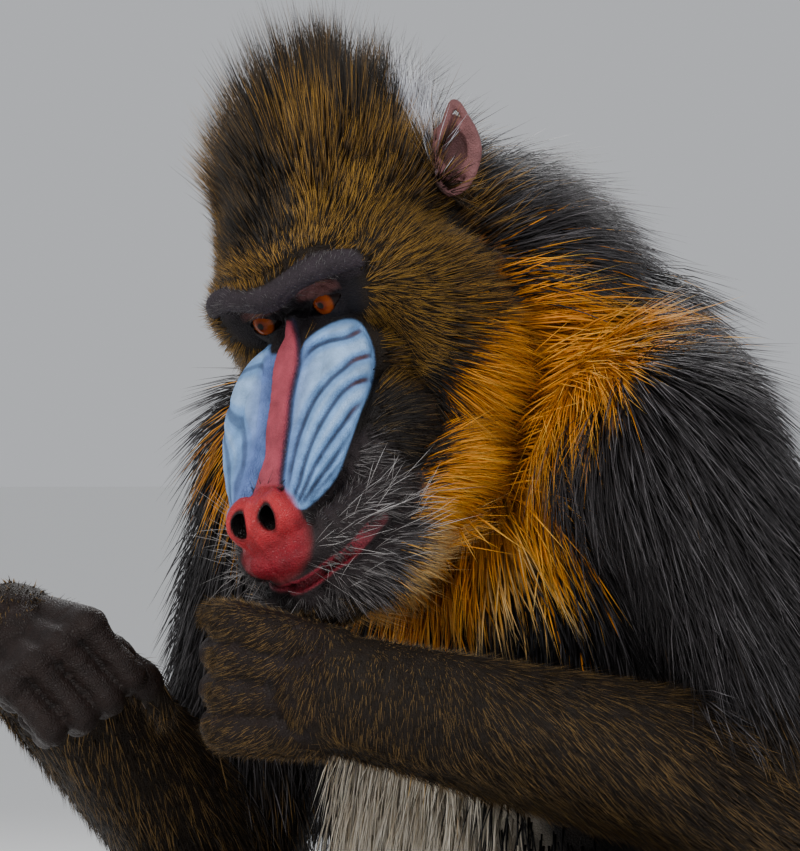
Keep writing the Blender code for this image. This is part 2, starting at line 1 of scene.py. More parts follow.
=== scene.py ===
"""An adult male mandrill, life size, sitting with both fists raised below its mouth.

One skin covers the body. The coat is solid tufts rooted on that skin, which follow its lie, and the
eyes, nails, brow bristles and whiskers are pieces of their own. Sizes in the tables are millimetres.
"""

import json
import math

import bpy
import numpy as np
from mathutils import Matrix, Vector

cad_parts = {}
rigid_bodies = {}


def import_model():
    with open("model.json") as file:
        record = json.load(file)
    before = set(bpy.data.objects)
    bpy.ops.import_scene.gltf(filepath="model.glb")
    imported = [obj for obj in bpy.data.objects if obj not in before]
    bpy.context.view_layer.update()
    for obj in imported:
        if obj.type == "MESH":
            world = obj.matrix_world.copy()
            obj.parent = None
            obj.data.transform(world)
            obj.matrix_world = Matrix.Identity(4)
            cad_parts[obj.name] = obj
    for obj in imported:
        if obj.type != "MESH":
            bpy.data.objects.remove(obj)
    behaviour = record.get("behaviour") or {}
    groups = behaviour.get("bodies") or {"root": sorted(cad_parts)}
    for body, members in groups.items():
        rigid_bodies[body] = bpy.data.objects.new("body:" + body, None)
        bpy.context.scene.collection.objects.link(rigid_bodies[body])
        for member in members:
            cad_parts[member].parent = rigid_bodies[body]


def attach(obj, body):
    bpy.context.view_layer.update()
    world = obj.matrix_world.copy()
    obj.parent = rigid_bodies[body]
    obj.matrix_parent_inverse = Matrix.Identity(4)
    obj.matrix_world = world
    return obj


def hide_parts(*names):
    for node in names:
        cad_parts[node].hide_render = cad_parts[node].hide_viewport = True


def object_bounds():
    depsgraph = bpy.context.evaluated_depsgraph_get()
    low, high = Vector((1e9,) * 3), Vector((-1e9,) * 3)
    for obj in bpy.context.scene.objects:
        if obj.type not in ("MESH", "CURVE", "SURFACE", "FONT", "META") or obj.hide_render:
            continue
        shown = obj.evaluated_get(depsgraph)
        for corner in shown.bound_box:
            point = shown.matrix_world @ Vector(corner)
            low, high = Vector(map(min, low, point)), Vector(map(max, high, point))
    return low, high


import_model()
CAD_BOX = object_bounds()

MM = 0.001
BOX_MIDDLE = Vector((5.489, -93.496, 0))

# Where the head is and how it is held: turned to its left, nodding down and tilted.
EYE_MIDPOINT = Vector((0, -170, 482))
HEAD_TURN, HEAD_NOD, HEAD_TILT = math.radians(16.0), math.radians(26.5), math.radians(-15.7)
EYE_CENTRE = (20.3, 9.5, 0.0)
EYE_RADIUS = 11.0
NOSTRIL_OFFSET, NOSTRIL_HEIGHT = 9.2, -66.5

LIMBS = {
    "left": {
        "shoulder": (122, -36, 420), "elbow": (180, 10, 247), "wrist": (51, -181, 299),
        "hip": (60, 45, 96), "knee": (165, -95, 184), "ankle": (112, -215, 46),
    },
    "right": {
        "shoulder": (-126, -62, 412), "elbow": (-170, -78, 206), "wrist": (-136, -240, 322),
        "hip": (-60, 45, 96), "knee": (-178, -120, 116), "ankle": (-84, -240, 46),
    },
}

# Hands: bone lengths, finger radii and how each fist lies.
PALM_LENGTH = 68
KNUCKLE_SPACING = 15.5
FINGER_SHARE = 0.93
FINGER_BONES = (41, 27, 19)
FINGER_RADII = (9.4, 8.6, 7.8, 6.4)
FINGER_SCALES = (0.84, 0.97, 1.0, 0.94)
THUMB_BONES = (30, 25, 19)
THUMB_RADII = (12, 10.5, 9.5, 7.5)
THUMB_CURLS = (18, 26, 24)
# For each hand: from wrist to knuckles, from the last finger to the first, how plump and how long it is,
# how far each joint of a finger is bent, and where the thumb points: ahead, aside and towards the palm.
HANDS = {
    "left": {
        "forward": Vector((-36, -52, 10)), "across": Vector((0.1, 0.1, 0.98)), "plump": 1.1, "long": 0.82,
        "curls": (80, 88, 60), "thumb": (0.5, 0.55, 0.42), "furry_to": 92,
    },
    "right": {
        "forward": Vector((0.946, -0.273, -0.12)), "across": Vector((0.156, 0.731, 0.62)), "plump": 1.0,
        "long": 0.84, "curls": (66, 92, 60), "thumb": (0.74, 0.52, 0.42), "furry_to": 22,
    },
}
SIDES = {"left": 1, "right": -1}

# The grain of each piece of skin before they are joined, in millimetres.
TRUNK_GRAIN, SKULL_GRAIN, FACE_GRAIN = 4.5, 3.0, 0.98
HAND_GRAIN, FOOT_GRAIN, EAR_GRAIN, LID_GRAIN, NOSTRIL_GRAIN = 1.4, 2.4, 1.1, 0.9, 1.0

# How far above the floor the skin and the coat stay, in metres.
SKIN_CLEARANCE, COAT_CLEARANCE = 0.0004, 0.0008

COAT_SEED, SKIN_SEED, BRISTLE_SEED = 11, 3, 5


def paint(red, green, blue):
    """A colour given as it looks, 0 to 255, as the linear colour that a shader takes."""
    return tuple((c / 255) ** 2.2 for c in (red, green, blue))


def placed(local=None):
    """The frame that puts millimetre shapes where the model stands."""
    return Matrix.Translation(-BOX_MIDDLE * MM) @ (local or Matrix.Identity(4))


def head_frame():
    """The head's own frame: x to its left, y to the back, z up, from the midpoint of the eyes."""
    turn = Matrix.Rotation(HEAD_TURN, 4, "Z")
    nod = Matrix.Rotation(HEAD_NOD, 4, "X")
    tilt = Matrix.Rotation(HEAD_TILT, 4, "Y")
    return placed(Matrix.Translation(EYE_MIDPOINT * MM) @ turn @ nod @ tilt)


BODY = placed()
HEAD = head_frame()
HEAD_INVERSE = np.array(HEAD.inverted())
BODY_INVERSE = np.array(BODY.inverted())


def to_head(points):
    """World points in the head's frame, in millimetres."""
    return (points @ HEAD_INVERSE[:3, :3].T + HEAD_INVERSE[:3, 3]) / MM


def to_body(points):
    return (points @ BODY_INVERSE[:3, :3].T + BODY_INVERSE[:3, 3]) / MM


# The camera that took the photo, in the body's millimetres.
CAMERA_RIGHT, CAMERA_FORWARD = Vector((0.643, 0.766, 0)), Vector((-0.766, 0.643, 0))
CAMERA_PLACE = Vector((2331.3, -2058.8, 428.0))
PIXELS_WIDE, FOCAL_PIXELS = 800, 6150


def side_view(local):
    """Where points of the head's frame lie in the camera's view: millimetres right of and above the eyes."""
    turn = np.array(HEAD.to_3x3()).T
    eye = turn @ (np.array(CAMERA_PLACE) - np.array(EYE_MIDPOINT))
    right, forward = turn @ np.array(CAMERA_RIGHT.normalized()), turn @ np.array(CAMERA_FORWARD.normalized())
    up = turn @ np.array((0, 0, 1))
    away = -eye @ forward
    scale = away / ((local - eye) @ forward)
    middle = np.array((-eye @ right, -eye @ up))
    return np.stack([(local - eye) @ right * scale, (local - eye) @ up * scale], axis=1) - middle


def left_view(local):
    """The same for the left side, with the right side's points mirrored on to it."""
    folded = local.copy()
    folded[:, 0] = np.abs(folded[:, 0])
    return side_view(folded)


def facing(local, normals):
    """How far the skin of the left side, or the mirrored right side, faces that view."""
    turn = np.array(HEAD.to_3x3()).T
    folded = normals @ turn.T
    folded[:, 0] *= np.sign(local[:, 0] + 1e-6)
    return -folded @ (turn @ np.array(CAMERA_FORWARD.normalized()))


def between(a, b, c, d, t):
    """The point a share t of the way from b to c, on a smooth curve that also heeds a and d."""
    bend = 2 * a - 5 * b + 4 * c - d
    twist = 3 * b - a - 3 * c + d
    return 0.5 * (2 * b + (c - a) * t + bend * t**2 + twist * t**3)


def rounded(outline):
    """A closed outline with more points, on a smooth curve through its own."""
    ends = np.array([outline[-1], *outline, outline[0], outline[1]], float)
    corners = zip(ends, ends[1:], ends[2:], ends[3:])
    return [between(a, b, c, d, t) for a, b, c, d in corners for t in (0, 0.34, 0.67)]


def inside(view, outline):
    """How deep each point of the view lies inside an outline, negative outside it."""
    corners = np.array(outline, float)
    u, v = view.T
    within = np.zeros(len(view), bool)
    nearest = np.full(len(view), 1e9)
    for (a, b), (c, d) in zip(corners, np.roll(corners, -1, axis=0)):
        if b != d:
            within ^= ((b > v) != (d > v)) & (u < (c - a) * (v - b) / (d - b) + a)
        along = np.array((c - a, d - b))
        share = np.clip(((u - a) * along[0] + (v - b) * along[1]) / max(along @ along, 1e-9), 0, 1)
        nearest = np.minimum(nearest, np.hypot(u - a - share * along[0], v - b - share * along[1]))
    return np.where(within, nearest, -nearest)


# Outlines and lines of the face in that view. Those of closed outlines are smoothed.
CHEEK_OUTLINE = (
    (6, -13), (15, -6), (26, -2), (33, -4), (38, -13), (40, -23), (38, -35), (33, -48), (27, -65), (21, -80),
    (11, -91), (4, -95), (-2, -90), (-5, -80), (-3, -65), (-2, -50), (0, -36), (3, -21),
)
CHEEK_GROOVES = (
    ((3, -24), (9, -17), (17, -13), (26, -11), (34, -7)),
    ((37, -20), (30, -22), (25, -26), (18, -32), (11, -41), (6, -51), (1, -66), (-3, -85)),
    ((40, -31), (31, -33), (24, -38), (18, -46), (11, -58), (6, -71), (3, -82), (0, -90)),
    ((37, -42), (30, -46), (24, -54), (16, -65), (10, -75), (6, -84), (2, -92)),
    ((32, -54), (26, -62), (18, -73), (10, -84), (4, -93)),
    ((27, -67), (20, -77), (13, -85), (8, -91)),
)
BRIDGE_EDGE = ((0, -3), (2, -9), (3, -17), (3, -24), (1, -32), (-1, -42), (-2, -54), (-4, -66), (-6, -84))
NOSE_OUTLINE = (
    (-33, -81), (-15, -84), (-6, -84), (-1, -89), (2, -95), (5, -103), (6, -111), (5, -118), (1, -124),
    (-5, -128), (-33, -134),
)
LIP_LINE = ((-15, -134), (-7, -135), (2, -133), (10, -129), (19, -122), (28, -116), (38, -105), (43, -99))
PHILTRUM = ((14, -70), (10, -92), (7, -112))
BROW_OUTLINE = (
    (-33, 7), (-15, 14), (-6, 20), (1, 26), (9, 30), (17, 32), (26, 33), (31, 31), (35, 26), (34, 21),
    (28, 19), (20, 18), (12, 16), (5, 13), (-4, 4), (-12, 0), (-33, -3),
)
SOCKET_OUTLINE = (
    (-15, -2), (-4, 6), (1, 12), (6, 16), (14, 18), (28, 21), (32, 21), (33, 12), (33, 3), (30, -3), (25, -3),
    (15, -6), (9, -9), (6, -13), (3, -16), (0, -4), (-6, -7),
)

# Where each kind of hair grows on the head, the ruff and the shoulders, in the same view.
COAT_REGIONS = {
    "pale": ((51, 123), (67, 121), (80, 107), (76, 99), (70, 86), (62, 84), (54, 100)),
    "crest": (
        (-70, 7), (-65, 95), (-45, 124), (-28, 163), (-2, 173), (38, 163), (58, 134), (53, 110), (42, 100),
        (3, 109), (-15, 102), (-4, 80), (3, 54), (-2, 39), (-26, 32), (-45, 26),
    ),
    "olive": (
        (-70, 26), (-26, 32), (-2, 39), (3, 54), (-4, 80), (-15, 102), (3, 109), (42, 100), (53, 110),
        (72, 80), (88, 61), (93, 32), (89, -2), (78, -17), (67, -28), (52, -38), (38, -34), (23, -22),
        (-45, -51), (-70, -42),
    ),
    "charcoal": (
        (38, -34), (52, -38), (67, -28), (78, -17), (89, -12), (94, -32), (82, -56), (72, -76), (64, -88),
        (56, -76), (38, -56), (25, -71), (23, -42),
    ),
    "muzzle": (
        (25, -61), (38, -56), (56, -76), (64, -88), (64, -110), (58, -129), (50, -142), (3, -151),
        (-26, -139), (3, -93),
    ),
    "cream": ((50, -145), (60, -124), (67, -105), (75, -100), (78, -120), (72, -139), (66, -159), (42, -159)),
    "orange": (
        (86, -28), (101, -7), (120, 4), (145, 9), (164, 1), (177, -15), (177, -39), (169, -61), (150, -70),
        (131, -84), (117, -109), (104, -139), (96, -164), (67, -164), (72, -139), (78, -120), (75, -100),
        (67, -105), (64, -90), (72, -76), (82, -56),
    ),
}


# Clay: balls that a voxel remesh makes one skin.


def unit_ball(around=18, rows=10):
    """Points and faces of a ball of radius 1."""
    points = [(0, 0, 1)]
    for i in range(1, rows):
        fall = math.pi * i / rows
        for k in range(around):
            turn = 2 * math.pi * k / around
            points.append((math.sin(fall) * math.cos(turn), math.sin(fall) * math.sin(turn), math.cos(fall)))
    points.append((0, 0, -1))
    last = len(points) - 1
    faces = []
    for k in range(around):
        after = (k + 1) % around
        faces.append((0, 1 + k, 1 + after))
        for i in range(rows - 2):
            a, b = 1 + i * around, 1 + (i + 1) * around
            faces.append((a + k, b + k, b + after))
            faces.append((a + k, b + after, a + after))
        faces.append((last, last - around + after, last - around + k))
    return np.array(points), np.array(faces)


BALL_POINTS, BALL_FACES = unit_ball()


def joints_of(name):
    """The joints of one side: shoulder, elbow, wrist, hip, knee and ankle."""
    return [Vector(place) for place in LIMBS[name].values()]


def add_ball(clay, centre, halves, frame_of):
    """Adds a ball with its own half sizes to the clay."""
    place = Matrix.Translation(Vector(centre) * MM) @ Matrix.Diagonal((*[h * MM for h in halves], 1))
    clay.append(np.array(frame_of @ place))


def curve_through(stations, steps):
    """Points with radii on a smooth curve through the stations, with so many steps between two."""
    ends = [np.array(s, float) for s in (stations[0], *stations, stations[-1])]
    corners = zip(ends, ends[1:], ends[2:], ends[3:])
    points = [between(a, b, c, d, k / steps) for a, b, c, d in corners for k in range(steps)]
    points.append(ends[-1])
    return points


def add_limb(clay, stations, frame_of, steps=10):
    """Adds a row of balls on a smooth curve through the stations: x, y, z and radius."""
    for x, y, z, radius in curve_through(stations, steps):
        add_ball(clay, (x, y, z), (radius, radius, radius), frame_of)


def station(point, radius):
    return (point.x, point.y, point.z, radius)


def new_mesh(name, points, faces):
    """An object made from arrays of points and triangles."""
    mesh = bpy.data.meshes.new(name)
    mesh.vertices.add(len(points))
    mesh.vertices.foreach_set("co", np.asarray(points, np.float32).ravel())
    mesh.loops.add(len(faces) * 3)
    mesh.loops.foreach_set("vertex_index", np.asarray(faces, np.int32).ravel())
    mesh.polygons.add(len(faces))
    mesh.polygons.foreach_set("loop_start", np.arange(0, len(faces) * 3, 3, dtype=np.int32))
    mesh.update(calc_edges=True)
    obj = bpy.data.objects.new(name, mesh)
    bpy.context.scene.collection.objects.link(obj)
    return obj


def only(obj):
    """Makes the object the one that operators act on."""
    for other in bpy.context.selected_objects:
        other.select_set(False)
    obj.select_set(True)
    bpy.context.view_layer.objects.active = obj


def finish_modifiers(obj):
    only(obj)
    for modifier in list(obj.modifiers):
        bpy.ops.object.modifier_apply(modifier=modifier.name)


def fuse(name, clay, voxel, smoothing, share=1.0):
    """Makes the clay's balls one skin, softens it and thins it to a share of its faces."""
    count = len(BALL_POINTS)
    points = np.concatenate([BALL_POINTS @ place[:3, :3].T + place[:3, 3] for place in clay])
    faces = np.concatenate([BALL_FACES + i * count for i in range(len(clay))])
    obj = new_mesh(name, points, faces)
    remesh = obj.modifiers.new("one skin", "REMESH")
    remesh.mode = "VOXEL"
    remesh.voxel_size = voxel * MM
    smooth = obj.modifiers.new("soften", "SMOOTH")
    smooth.factor = 0.5
    smooth.iterations = smoothing
    if share < 1:
        thin = obj.modifiers.new("thin", "DECIMATE")
        thin.ratio = share
    finish_modifiers(obj)
    return obj


def points_of(obj):
    flat = np.empty(len(obj.data.vertices) * 3, np.float32)
    obj.data.vertices.foreach_get("co", flat)
    return flat.reshape(-1, 3).astype(float)


def normals_of(obj):
    flat = np.empty(len(obj.data.vertices) * 3, np.float32)
    obj.data.vertices.foreach_get("normal", flat)
    return flat.reshape(-1, 3).astype(float)


def set_points(obj, points):
    obj.data.vertices.foreach_set("co", points.astype(np.float32).ravel())
    obj.data.update()


def colour_points(obj, name, colours):
    """Keeps a colour for each point of the object, under a name that its material reads."""
    attribute = obj.data.color_attributes.new(name, "FLOAT_COLOR", "POINT")
    opaque = np.hstack([colours, np.ones((len(colours), 1))])
    attribute.data.foreach_set("color", opaque.astype(np.float32).ravel())


def distance_to(points, line):
    """How far each point is from a line of points."""
    size = points.shape[1]
    ends = [np.array(p[:size], float) for p in line]
    nearest = np.full(len(points), 1e9)
    for a, b in zip(ends, ends[1:]):
        along = b - a
        share = np.clip((points - a) @ along / max(along @ along, 1e-12), 0, 1)
        nearest = np.minimum(nearest, np.linalg.norm(points - a - share[:, None] * along, axis=1))
    return nearest


def smooth_line(line, steps=4):
    """More points on a smooth curve through a line of the view."""
    return [p[:2] for p in curve_through([(*p, 0, 0) for p in line], steps)]


# Rows of the swollen cheeks: how far back, the top's height and half the width.
SWELLING = (
    (-8, -14, 33), (-16, -16, 38), (-26, -21.5, 41.5), (-40, -30.5, 42), (-52, -39.5, 39.5), (-63, -47, 35.5),
    (-73, -53, 30), (-82, -59, 24),
)


# Lines of the head in its own frame, each point with the radius of the ball there.
BRIDGE = [
    (0, -2, -3.5, 5.5), (0, -9.5, -14, 6), (0, -15, -20.5, 6.2), (0, -23.5, -27, 6.4), (0, -34, -33, 6.6),
    (0, -51, -46.5, 7), (0, -70, -59, 8), (0, -80, -67, 11),
]
BROW = [
    (-50, 8, 13.5, 4.5), (-40, 1, 17.5, 6), (-27, -5, 19, 6.4), (-13, -9, 17, 7.2), (0, -10, 15, 8),
    (13, -9, 17, 7.2), (27, -5, 19, 6.4), (40, 1, 17.5, 6), (50, 8, 13.5, 4.5),
]


def face_clay():
    """The muzzle, the jaw, the swollen cheeks, the nose and the brow."""
    clay = []
    add_ball(clay, (0, 26, 24), (44, 36, 30), HEAD)
    add_ball(clay, (0, 24, -40), (43, 46, 46), HEAD)
    add_limb(clay, [(0, 2, -38, 34), (0, -34, -62, 31), (0, -64, -82, 25), (0, -82, -88, 19)], HEAD)
    add_limb(clay, BRIDGE, HEAD)
    add_ball(clay, (0, -87, -74), (17, 14, 16), HEAD)
    add_ball(clay, (0, -82, -89), (29, 20, 12), HEAD)
    add_ball(clay, (0, -84, -81), (24, 15, 13), HEAD)
    add_limb(clay, [(0, -79, -117, 15), (0, -50, -112, 26), (0, -10, -94, 34)], HEAD)
    add_limb(clay, BROW, HEAD)
    for x in (1, -1):
        for lane in (1.0, 0.62, 0.25):
            row = [(x * (wide - 11) * lane, back + 5.8, top - 9.4, 11) for back, top, wide in SWELLING]
            add_limb(clay, row, HEAD)
        add_ball(clay, (x * 11.5, -85, -70), (12.5, 14, 13), HEAD)
        add_limb(clay, [(x * 18, -77, -115, 12), (x * 32, -50, -110, 16), (x * 38, -8, -90, 22)], HEAD)
        add_limb(clay, [(x * 18, -84, -88, 11), (x * 29, -66, -89, 14), (x * 33, -40, -86, 17)], HEAD)
        add_limb(clay, [(x * 25, -40, -72, 19), (x * 32, -14, -64, 23)], HEAD)
        add_ball(clay, (x * EYE_CENTRE[0], EYE_CENTRE[1] + 3, 0), (14.5, 14.5, 14.5), HEAD)
    return clay


def nostril_gap(local):
    """How far each point is from the axis of the nearer nostril, which is taller than wide."""
    return np.hypot(np.abs(local[:, 0]) - NOSTRIL_OFFSET, (local[:, 2] - NOSTRIL_HEIGHT) * 0.8)


def eye_gap(local):
    """How far each point is from the middle of the nearer eye, seen from the front."""
    return np.hypot(np.abs(local[:, 0]) - EYE_CENTRE[0], local[:, 2] - EYE_CENTRE[2])


def sculpt_face(obj):
    """Presses in the grooves of the cheeks, the mouth and the folds, and roughens the brow."""
    points, normals = points_of(obj), normals_of(obj)
    local = to_head(points)
    view = left_view(local)
    seen = smooth_step(facing(local, normals), -0.6, -0.3)
    depth = np.zeros(len(points))

    def groove(line, width, deep, share=1.0):
        nonlocal depth
        near = distance_to(view, smooth_line(line))
        depth += np.clip(1 - (near / width) ** 2, 0, 1) ** 1.5 * deep * seen * share

    cheek = inside(view, rounded(CHEEK_OUTLINE))
    depth -= smooth_step(cheek, -1.0, 3.5) * 2.0 * seen
    within = smooth_step(cheek, 0.0, 6.0)
    far_side = local[:, 0] < 0
    for k, line in enumerate(CHEEK_GROOVES):
        far_share = 0.0 if k == 0 else 0.3
        groove(line, 2.5, 2.5, within * np.where(far_side, far_share, 1.0))
    groove(BRIDGE_EDGE, 2.8, 2.6)
    groove(LIP_LINE, 2.4, 2.6)
    groove(PHILTRUM, 2.4, 0.9)
    lip = distance_to(view, smooth_line(LIP_LINE))
    depth -= np.exp(-(((lip - 4.0) / 1.8) ** 2)) * 1.2 * seen
    for k in range(9):
        start = (7 + 4.2 * k, -97 + 5.6 * k)
        groove((start, (start[0] + 5, start[1] - 8), (start[0] + 10, start[1] - 17)), 1.4, 0.7)
    nose = local[:, 1] < -84
    rim = nostril_gap(local)
    depth -= np.exp(-(((rim - 7.6) / 1.7) ** 2)) * smooth_step(local[:, 2], -76, -68) * nose * 1.1
    middle = np.clip(1 - (local[:, 0] / 2.6) ** 2, 0, 1) ** 2 * nose
    ridge = smooth_step(-local[:, 2], 64, 70) * (1 - smooth_step(-local[:, 2], 80, 86))
    depth -= middle * ridge * 1.0
    depth += middle * smooth_step(-local[:, 2], 84, 90) * 0.7
    ring = eye_gap(local)
    lids = (local[:, 1] < 16) * smooth_step(local[:, 2], -9, -3)
    for radius, deep in ((9.6, 0.8), (12.4, 0.9), (15.4, 0.6)):
        depth += np.exp(-(((ring - radius) / 0.9) ** 2)) * deep * lids
    pebbles = np.sin(local[:, 0] * 2.1) * np.sin(local[:, 2] * 2.3 + local[:, 1]) * 0.3
    depth -= pebbles * smooth_step(inside(view, rounded(BROW_OUTLINE)), -1, 2) * seen
    set_points(obj, points - normals * depth[:, None] * MM)


def eye_opening(side):
    """An almond-shaped cutter for the gap between the lids."""
    clay = []
    almond = (
        (-8.2, -2.4, 1.4), (-6.4, -1.8, 2.6), (-4.4, -1.2, 3.8), (-2, -0.7, 4.8), (1, -0.4, 5.3), (4, 0, 4.5),
        (6.4, 0.5, 3.0), (8.0, 0.9, 1.6),
    )
    for x, z, half in almond:
        add_ball(clay, (side * (EYE_CENTRE[0] + x), -4, z), (3.2, 12, half), HEAD)
    return fuse("lid_gap", clay, LID_GRAIN, smoothing=1)


def nostril(side):
    """A cutter for one nostril, which opens forwards and a little outwards."""
    clay = []
    for up, radius in ((1.4, 4.6), (0.5, 4.8), (-0.5, 4.7), (-1.5, 4.4)):
        z = NOSTRIL_HEIGHT + up
        wide = side * NOSTRIL_OFFSET
        inner = (wide * 0.85, -85, z, radius * 0.55)
        add_limb(clay, [(wide, -104, z, radius), (wide, -95, z, radius), inner], HEAD)
    return fuse("nostril", clay, NOSTRIL_GRAIN, smoothing=1)


def skull_clay():
    """The back of the head, under its coat."""
    clay = []
    add_ball(clay, (0, 66, 22), (57, 68, 50), HEAD)
    add_ball(clay, (0, 98, 0), (54, 42, 54), HEAD)
    add_limb(clay, [(0, 4, -104, 26), (0, 40, -88, 34)], HEAD)
    for x in (1, -1):
        cheek = [(x * 36, 32, 2, 30), (x * 40, 44, -24, 32), (x * 36, 34, -62, 28), (x * 22, 14, -92, 24)]
        add_limb(clay, cheek, HEAD)
    return clay


# Rows of the trunk: the height of the middle, half the width, half the depth, how far back the middle is,
# and half the height of the ball there.
TRUNK_ROWS = (
    (96, 98, 82, 58, 74), (160, 112, 106, 26, 78), (230, 121, 109, 2, 78), (310, 122, 98, -8, 74),
    (380, 118, 92, -13, 66), (430, 108, 84, -10, 60), (462, 84, 74, -6, 58),
)


def trunk_clay():
    """The trunk with the neck, the tail, the shoulders, the seat and the limbs."""
    clay = []
    ends = [np.array(row, float) for row in (TRUNK_ROWS[0], *TRUNK_ROWS, TRUNK_ROWS[-1])]
    for a, b, c, d in zip(ends, ends[1:], ends[2:], ends[3:]):
        for k in range(9):
            z, wide, deep, middle, high = between(a, b, c, d, k / 8)
            add_ball(clay, (0, middle, z), (wide, deep, high), BODY)
    add_limb(clay, [(0, -12, 458, 68), (-6, -46, 488, 68), (-12, -78, 502, 60), (-14, -92, 508, 50)], BODY)
    add_limb(clay, [(0, 140, 118, 20), (0, 170, 150, 16), (0, 184, 186, 12), (0, 184, 208, 6)], BODY)
    for side in (1, -1):
        add_ball(clay, (side * 94, -30, 414), (48, 54, 58), BODY)
        add_ball(clay, (side * 64, 56, 98), (60, 76, 68), BODY)
        add_ball(clay, (side * 40, 88, 14), (30, 36, 14), BODY)
    for name, side in SIDES.items():
        shoulder, elbow, wrist, hip, knee, ankle = joints_of(name)
        upper = shoulder.lerp(elbow, 0.5) + Vector((side * 4, 6, 4))
        add_limb(clay, [station(shoulder, 46), station(upper, 45), station(elbow, 40)], BODY)
        belly = elbow.lerp(wrist, 0.35)
        add_limb(clay, [station(elbow, 39), station(belly, 38), station(wrist, 29)], BODY)
        add_limb(clay, [station(hip, 68), station(hip.lerp(knee, 0.55), 55), station(knee, 36)], BODY)
        add_limb(clay, [station(knee, 34), station(knee.lerp(ankle, 0.35), 36), station(ankle, 24)], BODY)
    return clay


def finger_chain(root, forward, palm_normal, bones, radii, curls):
    """Stations of one finger, whose joints turn it towards the palm, and where its nail sits."""
    across = forward.cross(palm_normal).normalized()
    direction = forward.copy()
    point = root.copy()
    stations = [station(point, radii[0] * 1.05)]
    for bone, radius, curl in zip(bones, radii[1:], curls):
        direction = Matrix.Rotation(math.radians(curl), 3, across) @ direction
        middle = point + direction * bone * 0.5
        stations.append(station(middle, radius * 0.92))
        point = point + direction * bone
        stations.append(station(point, radius))
    back = across.cross(direction)
    return stations, (point - direction * 3 + back * radii[-1] * 0.82, direction, back, radii[-1])


# Where each nail sits, in the order that the fingers and toes are made.
NAILS = []
LEFT_THUMB = 4


def hand_axes(name):
    """The directions of a hand: to the knuckles, to the first finger and out of the palm."""
    forward = HANDS[name]["forward"].normalized()
    across = HANDS[name]["across"]
    across = (across - forward * across.dot(forward)).normalized()
    return forward, across, across.cross(forward) * -SIDES[name]


def hand_clay(name, wrist):
    """A closed fist."""
    hand = HANDS[name]
    forward, across, palm_normal = hand_axes(name)
    plump, long = hand["plump"], hand["long"]
    clay = []
    add_limb(clay, [station(wrist - forward * 16, 25), station(wrist + forward * 12, 22 * plump)], BODY)
    for k, scale in enumerate(FINGER_SCALES):
        offset = (k - 1.5) * KNUCKLE_SPACING * plump
        knuckle = wrist + forward * PALM_LENGTH * long * (0.9 + 0.04 * k) + across * offset
        heel = wrist + across * offset * 0.7 + forward * 8
        add_limb(clay, [station(heel, 13 * plump), station(knuckle, 10.2 * plump)], BODY)
        under = palm_normal * 8
        front = station(knuckle + under - forward * 8, 9.5 * plump)
        add_limb(clay, [station(heel + under, 13 * plump), front], BODY)
        bones = [b * long * scale for b in FINGER_BONES]
        radii = [r * plump * FINGER_SHARE for r in FINGER_RADII]
        stations, nail = finger_chain(knuckle, forward, palm_normal, bones, radii, hand["curls"])
        add_limb(clay, stations, BODY, steps=5)
        NAILS.append(nail)
    base = wrist + forward * 20 + across * 18 * plump + palm_normal * 10
    ahead, aside, below = hand["thumb"]
    reach = (forward * ahead + across * aside + palm_normal * below).normalized()
    radii = [r * plump for r in THUMB_RADII]
    bones = [b * long for b in THUMB_BONES]
    stations, nail = finger_chain(base, reach, palm_normal, bones, radii, THUMB_CURLS)
    add_limb(clay, stations, BODY, steps=5)
    NAILS.append(nail)
    return clay


def crease_hand(obj, name, wrist):
    """Presses fine creases across the fingers and knuckles."""
    forward, _, palm_normal = hand_axes(name)
    points, normals = points_of(obj), normals_of(obj)
    body = to_body(points)
    reach = (body - np.array(wrist)) @ np.array(forward)
    under = (body - np.array(wrist)) @ np.array(palm_normal)
    swing = clumps(body, 5)
    wave = np.sin(under * 1.9 + swing[:, 0] * 2.2) * 0.5 + np.sin(under * 0.83 + swing[:, 1] * 2.5) * 0.5
    amount = np.clip(wave - 0.15, 0, 1) * 0.85 * smooth_step(reach, 24, 44)
    set_points(obj, points - normals * amount[:, None] * MM)


def foot_clay(side, ankle):
    """A foot flat on the floor below its ankle, its toes turned a little outwards."""
    splay = Matrix.Rotation(side * math.radians(10), 4, "Z")
    turned = Matrix.Translation(Vector((ankle.x, ankle.y, 0)) * MM) @ splay
    local = placed(turned)
    x = side
    clay = []
    heel, ball = Vector((0, 22, 16)), Vector((x * -8, -74, 15))
    add_limb(clay, [(0, 0, ankle.z, 25), (x * -2, -16, 34, 23), station(ball, 15)], local)
    add_limb(clay, [station(heel, 17), (x * -4, -26, 17, 17), station(ball, 15)], local)

    def toe_nail(tip, back_by):
        point = turned @ (Vector(tip) * MM) / MM
        spin = turned.to_3x3()
        NAILS.append((point + Vector((0, 0, back_by)), spin @ Vector((0, -1, -0.25)), Vector((0, 0, 1)), 6.5))

    for k in range(4):
        root = Vector((x * (14 - 14 * k), -66 - 5 * k, 15))
        length = 64 - 4 * abs(k - 2)
        tip = root + Vector((x * (5 - 3 * k), -length, 0))
        arch = (root + tip) / 2 + Vector((0, 0, 7))
        add_limb(clay, [station(root, 11), station(arch, 8.5), (tip.x, tip.y, 8.5, 7.5)], local, steps=6)
        toe_nail((tip.x, tip.y, 8.5), 5.5)
    add_limb(clay, [(x * -12, -22, 16, 14), (x * -33, -46, 15, 11), (x * -42, -80, 10, 9)], local, steps=6)
    toe_nail((x * -42, -80, 10), 7)
    return clay


